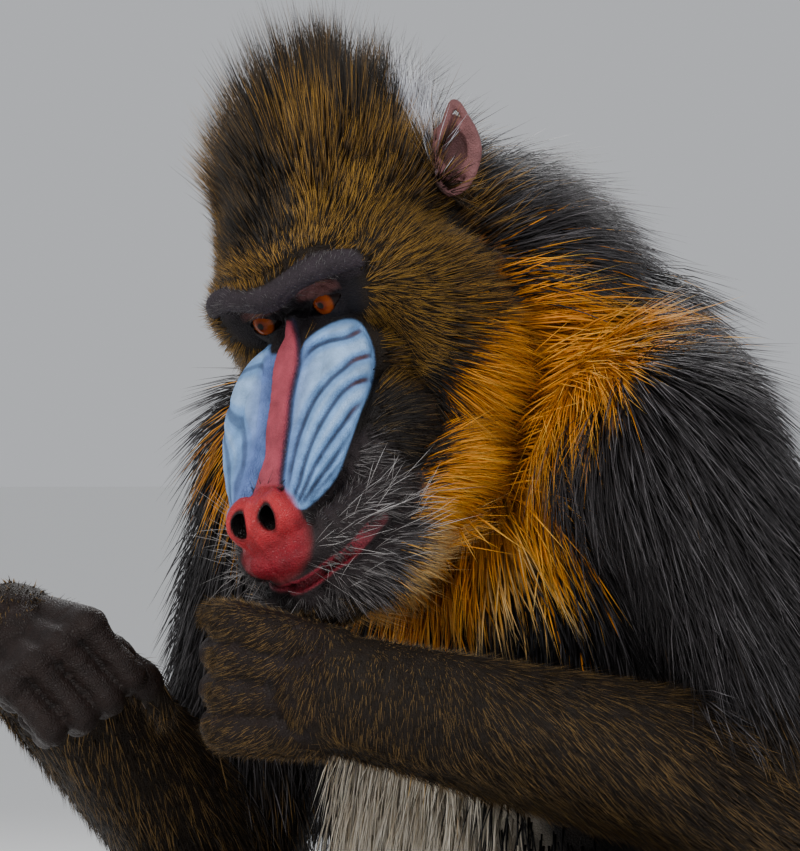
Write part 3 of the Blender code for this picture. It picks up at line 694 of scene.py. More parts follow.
# The ear in the head's frame: its middle, its long way, its wide way and the way that it opens. Its rim and
# its inner fold are outlines along the wide way and the long way.
EAR_MIDDLE = Vector((67, 86, 29))
EAR_LONG = Vector((0.24, 0.446, 0.862))
EAR_WIDE = Vector((0.64, 0.66, -0.40))
EAR_OUT = Vector((0.638, -0.742, 0.205))
EAR_SIZE = 0.85
EAR_RIM = (
    (-10, -16), (-2, -23), (8, -18), (14, -4), (13, 8), (7, 20), (0, 29), (-5, 17), (-11, 4), (-10, -16),
)
EAR_FOLD = ((4, -12), (9, -3), (8, 8), (3, 16))


def ear_clay(side):
    """A cupped, pointed ear."""

    def at(w, a, o):
        point = EAR_MIDDLE + EAR_WIDE * w * EAR_SIZE + EAR_LONG * a * EAR_SIZE + EAR_OUT * o
        return (side * point.x, point.y, point.z)

    clay = []
    add_limb(clay, [(*at(w, a, 2), 2.1) for w, a in EAR_RIM], HEAD, steps=8)
    add_limb(clay, [(*at(w, a, 1), 1.5) for w, a in EAR_FOLD], HEAD, steps=8)
    add_ball(clay, at(-9, -8, 2), (4, 4, 6), HEAD)
    for w in range(-10, 13, 2):
        reach = 21 - abs(w) * 0.75
        bowl = (at(w, -reach * 0.8, -2), at(w, 0, -3.4), at(w, reach, -2))
        add_limb(clay, [(*place, 1.9) for place in bowl], HEAD, steps=12)
    return clay


def join_skin(pieces, cutters):
    """One closed skin from overlapping closed pieces, with the lids' gaps and the nostrils cut out."""
    base = pieces[0]
    for others, operation in ((pieces[1:], "UNION"), (cutters, "DIFFERENCE")):
        group = bpy.data.collections.new("operands")
        bpy.context.scene.collection.children.link(group)
        for other in others:
            bpy.context.scene.collection.objects.unlink(other)
            group.objects.link(other)
        boolean = base.modifiers.new("join", "BOOLEAN")
        boolean.operation = operation
        boolean.operand_type = "COLLECTION"
        boolean.collection = group
        boolean.solver = "MANIFOLD"
        finish_modifiers(base)
        for other in list(group.objects):
            bpy.data.objects.remove(other)
        bpy.data.collections.remove(group)
    return base


def make_skin():
    """One skin for the whole animal, rough where the coat covers it and fine where it is bare."""
    trunk = fuse("skin", trunk_clay(), TRUNK_GRAIN, smoothing=6, share=0.55)
    skull = fuse("skull_skin", skull_clay(), SKULL_GRAIN, smoothing=5, share=0.6)
    face = fuse("face_skin", face_clay(), FACE_GRAIN, smoothing=4)
    sculpt_face(face)
    pieces = [trunk, skull, face]
    for name, side in SIDES.items():
        wrist, ankle = Vector(LIMBS[name]["wrist"]), Vector(LIMBS[name]["ankle"])
        hand = fuse("hand_skin", hand_clay(name, wrist), HAND_GRAIN, smoothing=1, share=0.42)
        crease_hand(hand, name, wrist)
        pieces.append(hand)
        foot = foot_clay(side, ankle)
        pieces.append(fuse("foot_skin", foot, FOOT_GRAIN, smoothing=3, share=0.35))
        pieces.append(fuse("ear_skin", ear_clay(side), EAR_GRAIN, smoothing=2, share=0.5))
    skin = join_skin(pieces, [eye_opening(1), eye_opening(-1), nostril(1), nostril(-1)])
    points = points_of(skin)
    points[:, 2] = np.maximum(points[:, 2], SKIN_CLEARANCE)
    set_points(skin, points)
    thin_below(skin)
    only(skin)
    bpy.ops.object.shade_smooth()
    return skin


MOST_SKIN_TRIANGLES = 190000


def thin_below(skin):
    """Thins the skin under the coat, and leaves the face, the hands and the feet as they are."""
    body, local = to_body(points_of(skin)), to_head(points_of(skin))
    part = parts_of(body)
    fine = is_part(part, "head") & (local[:, 1] < 12) & (np.abs(local[:, 0]) < 52)
    fine |= is_part(part, *BARE_PARTS)
    group = skin.vertex_groups.new(name="under_coat")
    group.add(np.where(~fine)[0].tolist(), 1.0, "REPLACE")
    skin.data.calc_loop_triangles()
    count = len(skin.data.loop_triangles)
    if count > MOST_SKIN_TRIANGLES:
        thin = skin.modifiers.new("thin", "DECIMATE")
        thin.ratio = MOST_SKIN_TRIANGLES / count
        thin.vertex_group = group.name
        thin.use_collapse_triangulate = True
        finish_modifiers(skin)
    skin.vertex_groups.clear()


# Which part of the body a point belongs to.


def part_bones():
    """Capsules: the name of a part, two ends and their radii, in the body's millimetres."""
    head_to_body = BODY.inverted() @ HEAD

    def from_head(x, y, z):
        return np.array(head_to_body @ (Vector((x, y, z)) * MM)) / MM

    bones = [
        ("head", from_head(0, 70, 15), from_head(0, 60, -40), 60, 52),
        ("head", from_head(0, 20, -30), from_head(0, -70, -82), 46, 26),
        ("neck", (0, -12, 458), (-12, -70, 500), 70, 62),
        ("trunk", (0, 50, 110), (0, -5, 300), 96, 112),
        ("trunk", (0, -5, 300), (0, -10, 430), 112, 96),
        ("tail", (0, 150, 126), (0, 184, 206), 16, 8),
    ]
    for name, side in SIDES.items():
        shoulder, elbow, wrist, hip, knee, ankle = LIMBS[name].values()
        forward = HANDS[name]["forward"].normalized()
        knuckles = Vector(wrist) + forward * 76 * HANDS[name]["long"]
        toes = (ankle[0] + side * 8, ankle[1] - 120, 12)
        bones += [
            ("upper_arm_" + name, shoulder, elbow, 46, 40),
            ("forearm_" + name, elbow, wrist, 39, 29),
            ("hand_" + name, tuple(Vector(wrist) + forward * 14), tuple(knuckles), 26, 26),
            ("thigh_" + name, hip, knee, 66, 36),
            ("shin_" + name, knee, ankle, 34, 24),
            ("foot_" + name, (ankle[0], ankle[1], 24), toes, 22, 14),
        ]
    return bones


BONES = part_bones()
PART_NAMES = sorted({bone[0] for bone in BONES})
BARE_PARTS = ("hand_left", "hand_right", "foot_left", "foot_right")


def parts_of(body_points):
    """The index of the nearest part for each point."""
    best = np.full(len(body_points), 1e9)
    found = np.zeros(len(body_points), int)
    for name, a, b, ra, rb in BONES:
        a, b = np.array(a, float), np.array(b, float)
        along = b - a
        share = np.clip((body_points - a) @ along / (along @ along), 0, 1)
        gap = np.linalg.norm(body_points - a - share[:, None] * along, axis=1) - (ra + (rb - ra) * share)
        closer = gap < best
        best[closer] = gap[closer]
        found[closer] = PART_NAMES.index(name)
    return found


def is_part(part, *names):
    """Where the parts are among those with these names."""
    return np.isin(part, [PART_NAMES.index(name) for name in names])


# Colours of the bare skin, with the painted shade and painted highlight laid on it.
SKIN_COLOURS = {
    "under coat": (34, 28, 24),
    "muzzle": (44, 37, 38),
    "brow": (52, 45, 50),
    "eye surround": (24, 19, 23),
    "lid": (104, 68, 66),
    "bridge": (164, 72, 84),
    "nose": (180, 50, 55),
    "lip": (164, 66, 78),
    "blue": (122, 164, 218),
    # painted highlight: pale blue laid on the tops of the cheek ridges, away from the grooves
    "pale blue highlight": (162, 196, 236),
    # deep blue beside the bridge: partly the cheek's own colour, partly painted shade on the far side
    "deep blue and shade": (92, 108, 176),
    # painted shade for the cheek grooves and the groove along the bridge's edge
    "groove": (44, 42, 62),
    "groove end": (104, 72, 72),
    # painted shade: near black laid inside the nostrils
    "nostril": (14, 5, 6),
    # painted shade: dark red laid on the lower nose, its edges and the lip under it
    "nose painted shade": (112, 22, 36),
    "ear": (124, 84, 84),
    "hand": (35, 25, 22),
    "callus": (150, 108, 100),
    "rump blue": (112, 116, 172),
    "rump pink": (178, 96, 112),
}


def face_regions(local, normals):
    """How deep each point lies inside each part of the bare face, in millimetres."""
    view = left_view(local)
    seen = smooth_step(facing(local, normals), -0.6, -0.3)
    front = seen * (local[:, 1] < 24)
    bridge = list(BRIDGE_EDGE) + [(-60, BRIDGE_EDGE[-1][1]), (-60, BRIDGE_EDGE[0][1])]
    return {
        "view": view,
        "front": front,
        "cheek": inside(view, rounded(CHEEK_OUTLINE)),
        "nose": inside(view, NOSE_OUTLINE),
        "brow": inside(view, rounded(BROW_OUTLINE)),
        "socket": inside(view, SOCKET_OUTLINE),
        "bridge": inside(view, bridge),
        "lip": 4.2 - distance_to(view, smooth_line(LIP_LINE)),
        "groove": np.min([distance_to(view, smooth_line(line)) for line in CHEEK_GROOVES], axis=0),
        "bridge edge": distance_to(view, BRIDGE_EDGE),
    }


def smooth_step(value, low, high):
    share = np.clip((value - low) / (high - low), 0, 1)
    return share * share * (3 - 2 * share)


RUMP_MIDDLE, RUMP_STRIPE = (0, 118, 60), (0, 130, 84)


def ball_share(body, middle, halves):
    """How far each point is from the middle of a ball, as a share of the ball's half sizes."""
    return np.linalg.norm((body - np.array(middle)) / np.array(halves), axis=1)


def hollowness(obj, rounds=10):
    """How far each point lies below the surface round it, in millimetres."""
    points, normals = points_of(obj), normals_of(obj)
    edges = np.empty(len(obj.data.edges) * 2, np.int32)
    obj.data.edges.foreach_get("vertices", edges)
    a, b = edges.reshape(-1, 2).T
    degree = np.bincount(a, minlength=len(points)) + np.bincount(b, minlength=len(points))
    softened = points.copy()
    for _ in range(rounds):
        total = np.zeros_like(softened)
        for axis in range(3):
            total[:, axis] = np.bincount(a, softened[b, axis], len(points))
            total[:, axis] += np.bincount(b, softened[a, axis], len(points))
        softened = total / np.maximum(degree, 1)[:, None]
    return ((softened - points) * normals).sum(1) / MM


def colour_skin(skin):
    """Lays the markings on the skin, under the coat too, and how wet it is, with painted shade in the
    grooves, hollows, nostrils and lower nose and a painted highlight on the cheek ridges.
    """
    points, normals = points_of(skin), normals_of(skin)
    body, local = to_body(points), to_head(points)
    part = parts_of(body)
    hollow = hollowness(skin)
    rng = np.random.default_rng(SKIN_SEED)
    lie, length, lift, kind = flow_at(body, part, rng)
    kind = kind_at(kind, body, lie, length * 0.35, part, rng)
    tones = np.array([paint(*colours[1]) for share, *colours in HAIR.values()])
    colour = tones[kind] * 0.6 + np.array(paint(*SKIN_COLOURS["under coat"])) * 0.2

    def lay(name, share):
        share = np.clip(share, 0, 1)[:, None]
        colour[:] = colour * (1 - share) + np.array(paint(*SKIN_COLOURS[name])) * share

    head = is_part(part, "head")
    face = face_regions(local, normals)
    front = face["front"] * head
    view = face["view"]
    muzzle = inside(view, COAT_REGIONS["muzzle"])
    lay("muzzle", front * smooth_step(muzzle, -4, 2))
    lay("muzzle", head * (local[:, 1] < -30) * smooth_step(-local[:, 2], 60, 70) * 0.7)
    lay("eye surround", front * smooth_step(face["socket"], -1.5, 1.5))
    lay("brow", front * smooth_step(face["brow"], -1.0, 1.5))
    lid = smooth_step(-eye_gap(local), -14.5, -12) * smooth_step(local[:, 2], 3, 6)
    lay("lid", front * lid * (face["brow"] < 0) * 0.7)
    cheek = front * smooth_step(face["cheek"], -0.6, 0.8)
    lay("blue", cheek)
    # Painted highlight: pale blue on the ridge tops between the grooves.
    lay("pale blue highlight", cheek * smooth_step(face["groove"], 2.2, 5.0) * smooth_step(face["cheek"], 1, 4) * 0.8)
    # Deep blue beside the bridge: the cheek's own colour, laid more strongly on the far side as painted shade
    # where that slope lies in shadow.
    inner = smooth_step(-face["bridge edge"], -12, -1)
    far_side = local[:, 0] < 0
    lay("deep blue and shade", cheek * inner * np.where(far_side, 0.7, 0.4))
    # The groove lines: the first laying below is painted shade in the grooves, the second their own brownish
    # ends.
    groove = cheek * smooth_step(-face["groove"], -1.7, -0.5) * smooth_step(face["cheek"], 0, 5)
    lay("groove", groove * np.where(far_side, 0.6, 0.8))
    lay("groove end", groove * smooth_step(view[:, 0], 24, 33) * 0.8)
    lay("bridge", front * smooth_step(face["bridge"], -0.6, 0.8) * (1 - smooth_step(face["nose"], 0, 3)))
    # Painted shade along the groove beside the bridge.
    lay("groove", front * smooth_step(-face["bridge edge"], -1.9, -0.5) * 0.8)
    soft = np.where(view[:, 1] < -100, 3.0, 0.0)
    nose = front * smooth_step(face["nose"], -2.5 - soft, 2.0 + soft)
    lay("nose", nose)
    # Painted shade: the lower part of the nose and its edges darkened.
    lay("nose painted shade", nose * smooth_step(-local[:, 2], 66, 88) * 0.85)
    lay("nose painted shade", nose * smooth_step(-face["nose"], -7, 0) * 0.5)
    lip = front * smooth_step(face["lip"], 0.2, 1.6)
    lip = lip * (1 - 0.75 * smooth_step(view[:, 0], 28, 42))
    lay("lip", lip)
    # Painted shade on the lip, towards the left of the view.
    lay("nose painted shade", lip * smooth_step(-view[:, 0], -22, 4) * 0.55)
    # Painted shade: the inside of each nostril laid near black.
    hole = nostril_gap(local)
    deep = smooth_step(local[:, 1], -100.5, -97) * (local[:, 1] < -74)
    lay("nostril", head * smooth_step(-hole, -6.6, -5.2) * deep)
    ear = head * (np.abs(local[:, 0]) > 56) * (local[:, 1] > 64) * (local[:, 2] > 0)
    lay("ear", ear * smooth_step(np.abs(local[:, 0]) + local[:, 1] * 0.2, 74, 79))
    lay("hand", is_part(part, *BARE_PARTS) * 1.0)
    callus = np.linalg.norm(body - np.array(NAILS[LEFT_THUMB][0]), axis=1)
    lay("callus", smooth_step(-callus, -10, -5) * is_part(part, "hand_left") * 0.8)
    rump = ball_share(body, RUMP_MIDDLE, (84, 52, 62))
    lay("rump blue", smooth_step(-rump, -1.25, -0.95) * (body[:, 1] > 60))
    stripe = ball_share(body, RUMP_STRIPE, (26, 60, 60))
    lay("rump pink", smooth_step(-stripe, -1.2, -0.9) * (body[:, 1] > 90))
    lay("rump pink", (body[:, 2] < 22) * (body[:, 1] > 40) * (np.abs(body[:, 0]) < 76) * 0.8)
    # Painted shade: the colour darkened where the skin lies in a hollow, as in grooves and creases.
    colour *= (1 - 0.5 * smooth_step(hollow, 0.3, 1.6))[:, None]
    colour_points(skin, "marking", colour)
    wet = np.maximum(np.maximum(nose, lip), is_part(part, "hand_left", "hand_right") * 0.4)
    shine = skin.data.attributes.new("wet", "FLOAT", "POINT")
    shine.data.foreach_set("value", wet.astype(np.float32))


# The coat.

# Each kind of hair: the share of tufts that are ticked, the colours of a plain tuft at root, middle and tip,
# and those of a ticked one at middle and tip.
HAIR = {
    "olive": (0.55, (22, 16, 10), (38, 28, 16), (50, 38, 22), (74, 52, 22), (186, 140, 58)),
    "crest": (0.2, (14, 11, 8), (23, 18, 13), (50, 43, 36), (46, 34, 18), (132, 102, 56)),
    "charcoal": (0.14, (18, 15, 13), (32, 27, 24), (46, 40, 36), (62, 50, 36), (126, 104, 70)),
    "muzzle": (0.35, (24, 21, 22), (42, 38, 38), (74, 68, 68), (92, 86, 86), (160, 154, 152)),
    "slate": (0.24, (20, 19, 20), (44, 41, 42), (68, 64, 66), (70, 66, 68), (140, 136, 138)),
    "black": (0.1, (12, 11, 12), (24, 22, 24), (36, 34, 36), (44, 42, 44), (76, 72, 72)),
    "brown": (0.35, (26, 21, 17), (56, 45, 34), (86, 70, 50), (104, 82, 54), (160, 132, 92)),
    "arm": (0.3, (20, 15, 11), (38, 29, 20), (56, 44, 31), (60, 46, 28), (160, 126, 74)),
    "orange": (0.4, (156, 94, 28), (206, 126, 26), (236, 164, 54), (226, 146, 30), (246, 192, 92)),
    "cream": (0.35, (140, 96, 46), (212, 166, 96), (232, 200, 144), (222, 158, 62), (240, 214, 162)),
    "belly": (0.3, (168, 154, 134), (218, 206, 186), (238, 230, 214), (196, 180, 154), (244, 238, 226)),
    "pale": (0.3, (104, 102, 108), (190, 190, 198), (222, 224, 232), (130, 130, 140), (236, 238, 242)),
    "leg": (0.36, (22, 18, 13), (46, 36, 24), (60, 48, 32), (88, 70, 42), (142, 114, 72)),
}

# Guides: the place, the lie, the hair's length, its lift from the skin and its kind. Those of the
# head are in its own frame. A side of 2 stands for both sides.
HEAD_GUIDES = (
    ((0, -8, 34), (0, 0.35, 0.95), 7, 0.7, "olive", 1),
    ((22, -2, 32), (0.3, 0.4, 0.85), 7, 0.6, "olive", 2),
    ((44, 10, 26), (0.4, 0.7, 0.6), 8, 0.5, "olive", 2),
    ((0, 4, 50), (0, 0.1, 1), 24, 1.15, "crest", 1),
    ((20, 8, 48), (0.12, 0.2, 1), 14, 0.9, "crest", 2),
    ((0, 20, 66), (0, 0.2, 1), 46, 1.35, "crest", 1),
    ((0, 46, 76), (0, 0.25, 1), 54, 1.4, "crest", 1),
    ((0, 72, 76), (0, 0.3, 1), 57, 1.4, "crest", 1),
    ((0, 98, 64), (0, 0.45, 1), 54, 1.2, "crest", 1),
    ((0, 126, 40), (0, 0.8, 0.5), 54, 0.8, "slate", 1),
    ((26, 30, 62), (0.25, 0.3, 1), 34, 1.1, "crest", 2),
    ((30, 54, 68), (0.3, 0.3, 1), 42, 1.15, "crest", 2),
    ((30, 88, 58), (0.35, 0.45, 0.8), 44, 0.9, "crest", 2),
    ((46, 34, 42), (0.5, 0.4, 0.7), 13, 0.65, "olive", 2),
    ((52, 70, 38), (0.4, 0.6, 0.5), 20, 0.6, "olive", 2),
    ((50, 30, 14), (0.3, 0.9, 0.1), 9, 0.62, "olive", 2),
    ((56, 56, 4), (0.3, 0.95, -0.1), 13, 0.55, "olive", 2),
    ((46, 18, -16), (0.2, 0.9, -0.3), 7, 0.6, "olive", 2),
    ((58, 50, -32), (0.35, 0.9, -0.25), 20, 0.5, "olive", 2),
    ((46, 14, -46), (0.2, 0.85, -0.4), 11, 0.45, "charcoal", 2),
    ((50, 34, -66), (0.3, 0.9, -0.3), 34, 0.5, "charcoal", 2),
    ((44, -10, -62), (0.1, 0.85, -0.4), 9, 0.45, "charcoal", 2),
    ((36, -44, -80), (0.1, 0.8, -0.4), 8, 0.5, "muzzle", 2),
    ((26, -74, -88), (0.1, 0.7, -0.5), 5, 0.45, "muzzle", 2),
    ((0, -92, -118), (0, 0.3, -1), 12, 0.45, "muzzle", 1),
    ((14, -74, -126), (0, 0.5, -0.9), 20, 0.45, "muzzle", 2),
    ((42, -40, -108), (0.15, 0.8, -0.5), 16, 0.4, "muzzle", 2),
    ((48, -4, -96), (0.25, 0.9, -0.4), 36, 0.45, "cream", 2),
    ((0, -40, -140), (0, 0.5, -0.85), 46, 0.5, "cream", 1),
    ((26, -26, -130), (0.1, 0.6, -0.8), 48, 0.5, "cream", 2),
    ((40, 18, -108), (0.3, 0.9, -0.4), 58, 0.42, "orange", 2),
    ((0, 10, -130), (0, 0.7, -0.7), 50, 0.5, "cream", 1),
    ((46, 48, -84), (0.3, 0.9, -0.25), 60, 0.42, "orange", 2),
    ((56, 70, -46), (0.3, 0.95, -0.05), 56, 0.42, "orange", 2),
    ((58, 66, 40), (0.3, 0.5, 0.85), 30, 0.75, "pale", 2),
    ((62, 74, 8), (0.4, 0.9, 0.1), 22, 0.55, "olive", 2),
    ((0, 140, 0), (0, 0.8, -0.6), 54, 0.55, "slate", 1),
    ((44, 118, 10), (0.4, 0.85, -0.2), 50, 0.5, "slate", 2),
    ((58, 92, -20), (0.3, 0.9, -0.2), 48, 0.5, "slate", 2),
)


def kind_at(kind, body, lie, reach, part, rng):
    """The kind of hair, from the regions of the coat on the head, the ruff and the shoulders."""
    upper = is_part(part, "head", "neck", "trunk", "upper_arm_left", "upper_arm_right")
    rows = np.where(upper & (body[:, 2] > 300))[0]
    tips = body[rows] + unit(lie[rows]) * reach[rows][:, None]
    local = to_head(np.array(BODY.to_translation()) + tips * MM)
    view = left_view(local) + rng.normal(0, 3.2, (len(rows), 2))
    head = is_part(part[rows], "head")
    kinds = list(HAIR)
    found = kind[rows].copy()
    for name, outline in COAT_REGIONS.items():
        within = (inside(view, outline) > 0) & (local[:, 1] < 150)
        if name not in ("orange", "cream"):
            within &= head
        found[within] = kinds.index(name)
    kind = kind.copy()
    kind[rows] = found
    return kind


NECK_GUIDES = (
    ((0, -30, 560), (0, 0.9, -0.35), 56, 0.45, "slate", 1),
    ((0, 30, 530), (0, 0.8, -0.7), 58, 0.40, "slate", 1),
    ((46, -50, 545), (0.3, 0.85, -0.4), 54, 0.42, "slate", 2),
    ((64, -10, 520), (0.35, 0.7, -0.6), 54, 0.40, "slate", 2),
    ((66, -70, 500), (0.4, 0.75, -0.4), 50, 0.42, "slate", 2),
    ((62, -92, 462), (0.4, 0.7, -0.5), 50, 0.42, "orange", 2),
    ((44, -118, 450), (0.3, 0.3, -0.9), 50, 0.40, "orange", 2),
    ((0, -110, 440), (0, -0.1, -1), 46, 0.35, "cream", 1),
)
TRUNK_GUIDES = (
    ((0, 84, 480), (0, 0.45, -1), 60, 0.36, "slate", 1),
    ((70, 50, 470), (0.3, 0.4, -0.9), 58, 0.36, "slate", 2),
    ((0, 96, 400), (0, 0.15, -1), 56, 0.32, "slate", 1),
    ((80, 70, 390), (0.15, 0.15, -1), 54, 0.32, "slate", 2),
    ((0, 106, 310), (0, 0.1, -1), 48, 0.30, "brown", 1),
    ((90, 66, 300), (0.1, 0.1, -1), 46, 0.30, "brown", 2),
    ((0, 126, 210), (0, 0.1, -1), 38, 0.28, "brown", 1),
    ((104, 70, 190), (0.1, 0, -1), 34, 0.28, "brown", 2),
    ((90, 110, 110), (0.2, -0.2, -1), 22, 0.28, "leg", 2),
    ((118, -10, 330), (0.1, 0, -1), 46, 0.30, "slate", 2),
    ((120, -20, 230), (0, 0, -1), 40, 0.28, "black", 2),
    ((94, -66, 440), (0.5, 0.35, -0.6), 54, 0.36, "orange", 2),
    ((76, -92, 400), (0.4, 0.1, -0.85), 52, 0.36, "orange", 2),
    ((46, -104, 380), (0.1, -0.2, -1), 46, 0.34, "cream", 2),
    ((112, -60, 390), (0.4, -0.1, -0.9), 46, 0.36, "slate", 2),
    ((0, -112, 340), (0, -0.1, -1), 42, 0.30, "black", 1),
    ((70, -92, 320), (0.1, -0.1, -1), 44, 0.30, "black", 2),
    ((26, -120, 250), (0, -0.1, -1), 50, 0.28, "belly", 2),
    ((60, -106, 225), (0, -0.1, -1), 50, 0.28, "belly", 2),
    ((0, -118, 190), (0, 0, -1), 40, 0.26, "belly", 1),
    ((88, -84, 250), (0, -0.1, -1), 46, 0.28, "black", 2),
    ((92, -76, 190), (0, 0, -1), 40, 0.28, "black", 2),
    ((50, -80, 140), (0, 0.2, -1), 26, 0.26, "belly", 2),
)


def limb_guides():
    """Guides round each limb: the hair runs down the upper arm, back up the forearm and down the leg."""
    guides = {"tail": [((0, 180, 170), Vector((0, 0.2, 1)), 30, 0.5, "brown")]}
    for name, side in SIDES.items():
        shoulder, elbow, wrist, hip, knee, ankle = joints_of(name)
        forward = HANDS[name]["forward"].normalized()
        down = (elbow - shoulder).normalized() + Vector((0, 0.25, 0))
        up_arm = (elbow - wrist).normalized() + Vector((side * 0.1, 0, -0.35))
        guides["upper_arm_" + name] = [
            (tuple(shoulder.lerp(elbow, 0.1)), down, 48, 0.34, "slate"),
            (tuple(shoulder.lerp(elbow, 0.5)), down, 40, 0.32, "slate"),
            (tuple(shoulder.lerp(elbow, 0.95)), down, 26, 0.32, "arm"),
        ]
        outward = Vector((0.45, -0.45, -0.75))
        guides["forearm_" + name] = [
            (tuple(elbow.lerp(wrist, 0.05)), up_arm, 24, 0.34, "arm"),
            (tuple(elbow.lerp(wrist, 0.5)), up_arm + outward * 0.5, 14, 0.38, "arm"),
            (tuple(elbow.lerp(wrist, 1.0)), outward, 9, 0.42, "arm"),
        ]
        guides["hand_" + name] = [
            (tuple(wrist), outward, 9, 0.45, "arm"),
            (tuple(wrist + forward * 50), outward * 0.6 + forward, 7, 0.5, "arm"),
        ]
        guides["thigh_" + name] = [
            (tuple(hip), knee - hip, 30, 0.3, "leg"),
            (tuple(hip.lerp(knee, 0.9)), knee - hip, 18, 0.3, "leg"),
        ]
        guides["shin_" + name] = [
            (tuple(knee), ankle - knee, 16, 0.3, "leg"), (tuple(ankle), ankle - knee, 10, 0.3, "leg"),
        ]
        guides["foot_" + name] = [((ankle.x, ankle.y - 40, 40), Vector((0, -1, -0.2)), 6, 0.35, "leg")]
    return guides


def all_guides():
    """Guides by part, all in the body's millimetres."""
    head_to_body = BODY.inverted() @ HEAD
    turn = head_to_body.to_3x3()
    guides = limb_guides()
    for part, table in (("head", HEAD_GUIDES), ("neck", NECK_GUIDES), ("trunk", TRUNK_GUIDES)):
        rows = guides.setdefault(part, [])
        for place, lie, length, lift, kind, sides in table:
            for side in (1, -1)[:sides]:
                at, way = Vector((side * place[0], *place[1:])), Vector((side * lie[0], *lie[1:]))
                if part == "head":
                    at, way = (head_to_body @ (at * MM)) / MM, turn @ way
                rows.append((tuple(at), way, length, lift, kind))
    shared = guides["head"] + guides["neck"] + guides["trunk"]
    for part in ("head", "neck", "trunk"):
        guides[part] = shared
    return guides


# How far inside each part of the face the coat ends, in millimetres.
BARE_MARGINS = {"cheek": -0.6, "nose": 0.5, "bridge": 0, "socket": -0.5, "brow": 1.2, "lip": 1.0}


def bare_share(body, local, part, normals):
    """1 where the skin is bare and 0 where the coat is full."""
    face = face_regions(local, normals)
    bare = np.zeros(len(body))
    for name, margin in BARE_MARGINS.items():
        bare = np.maximum(bare, (face[name] > margin) * face["front"])
    sparse = inside(face["view"], COAT_REGIONS["muzzle"]) > 0
    bare = np.maximum(bare, sparse * face["front"] * 0.15)
    bare = np.maximum(bare, (local[:, 1] < -90) * (local[:, 2] > -104) * 1.0)
    out = np.abs(local[:, 0])
    ear = (out > 58) & (local[:, 1] > 66) & (out + local[:, 1] * 0.2 > 78) & (local[:, 2] > 4)
    bare = np.maximum(bare, ear * 1.0) * is_part(part, "head")
    for name, side in SIDES.items():
        wrist = np.array(LIMBS[name]["wrist"], float)
        forward = np.array(HANDS[name]["forward"].normalized())
        across = np.array(HANDS[name]["across"].normalized())
        reach, top = (body - wrist) @ forward, (body - wrist) @ across
        under = (body - wrist) @ (np.cross(across, forward) * -side)
        palm = (under > 20) & (reach > 20) & (top < 24)
        bare = np.maximum(bare, is_part(part, "hand_" + name) & ((reach > HANDS[name]["furry_to"]) | palm))
        toes = body[:, 1] < LIMBS[name]["ankle"][1] - 84
        bare = np.maximum(bare, is_part(part, "foot_" + name) & ((body[:, 2] < 15) | toes))
    rump = ball_share(body, RUMP_MIDDLE, (80, 48, 58))
    bare = np.maximum(bare, (rump < 1.12) * (body[:, 1] > 60))
    bare = np.maximum(bare, (body[:, 2] < 8) * 1.0)
    return bare


def sample_roots(skin, rng, density):
    """Roots spread over the skin by area and by how dense the coat is there."""
    mesh = skin.data
    mesh.calc_loop_triangles()
    triangles = np.empty(len(mesh.loop_triangles) * 3, np.int32)
    mesh.loop_triangles.foreach_get("vertices", triangles)
    triangles = triangles.reshape(-1, 3)
    points, normals = points_of(skin), normals_of(skin)
    a, b, c = (points[triangles[:, k]] for k in range(3))
    area = np.linalg.norm(np.cross(b - a, c - a), axis=1) / 2
    middle = (a + b + c) / 3
    weight = area * density(middle, normals[triangles].mean(1))
    count = int(weight.sum())
    chosen = rng.choice(len(triangles), count, p=weight / weight.sum())
    u, v = rng.random(count), rng.random(count)
    flip = u + v > 1
    u[flip], v[flip] = 1 - u[flip], 1 - v[flip]
    w = 1 - u - v
    shares = [(triangles[chosen, k], share[:, None]) for k, share in enumerate((w, u, v))]
    roots = sum(points[corner] * share for corner, share in shares)
    return roots, unit(sum(normals[corner] * share for corner, share in shares))


# Tufts per square metre of skin, and how wide a tuft is at its root in millimetres.
DENSITY = {
    "head": (1350000, 0.46), "neck": (400000, 0.66), "trunk": (108000, 1.1), "tail": (150000, 1.2),
    "upper_arm_left": (215000, 0.8), "forearm_left": (800000, 0.48), "hand_left": (1500000, 0.44),
    "upper_arm_right": (112000, 1.1), "forearm_right": (300000, 0.8), "hand_right": (600000, 0.5),
    "thigh_left": (84000, 1.4), "shin_left": (190000, 1.0), "foot_left": (330000, 0.8),
    "thigh_right": (84000, 1.4), "shin_right": (190000, 1.0), "foot_right": (330000, 0.8),
}


def clumps(body, scale):
    """A slow, seeded waviness over the body, three values for each point."""
    waves = [np.sin(body @ np.array(w) / scale + s) for w, s in (
        ((0.9, 0.3, 0.5), 0.4), ((-0.4, 1.0, 0.2), 1.9), ((0.3, -0.5, 1.1), 3.1),
    )]
    return np.stack([waves[0] * waves[1], waves[1] * waves[2], waves[2] * waves[0]], axis=1)


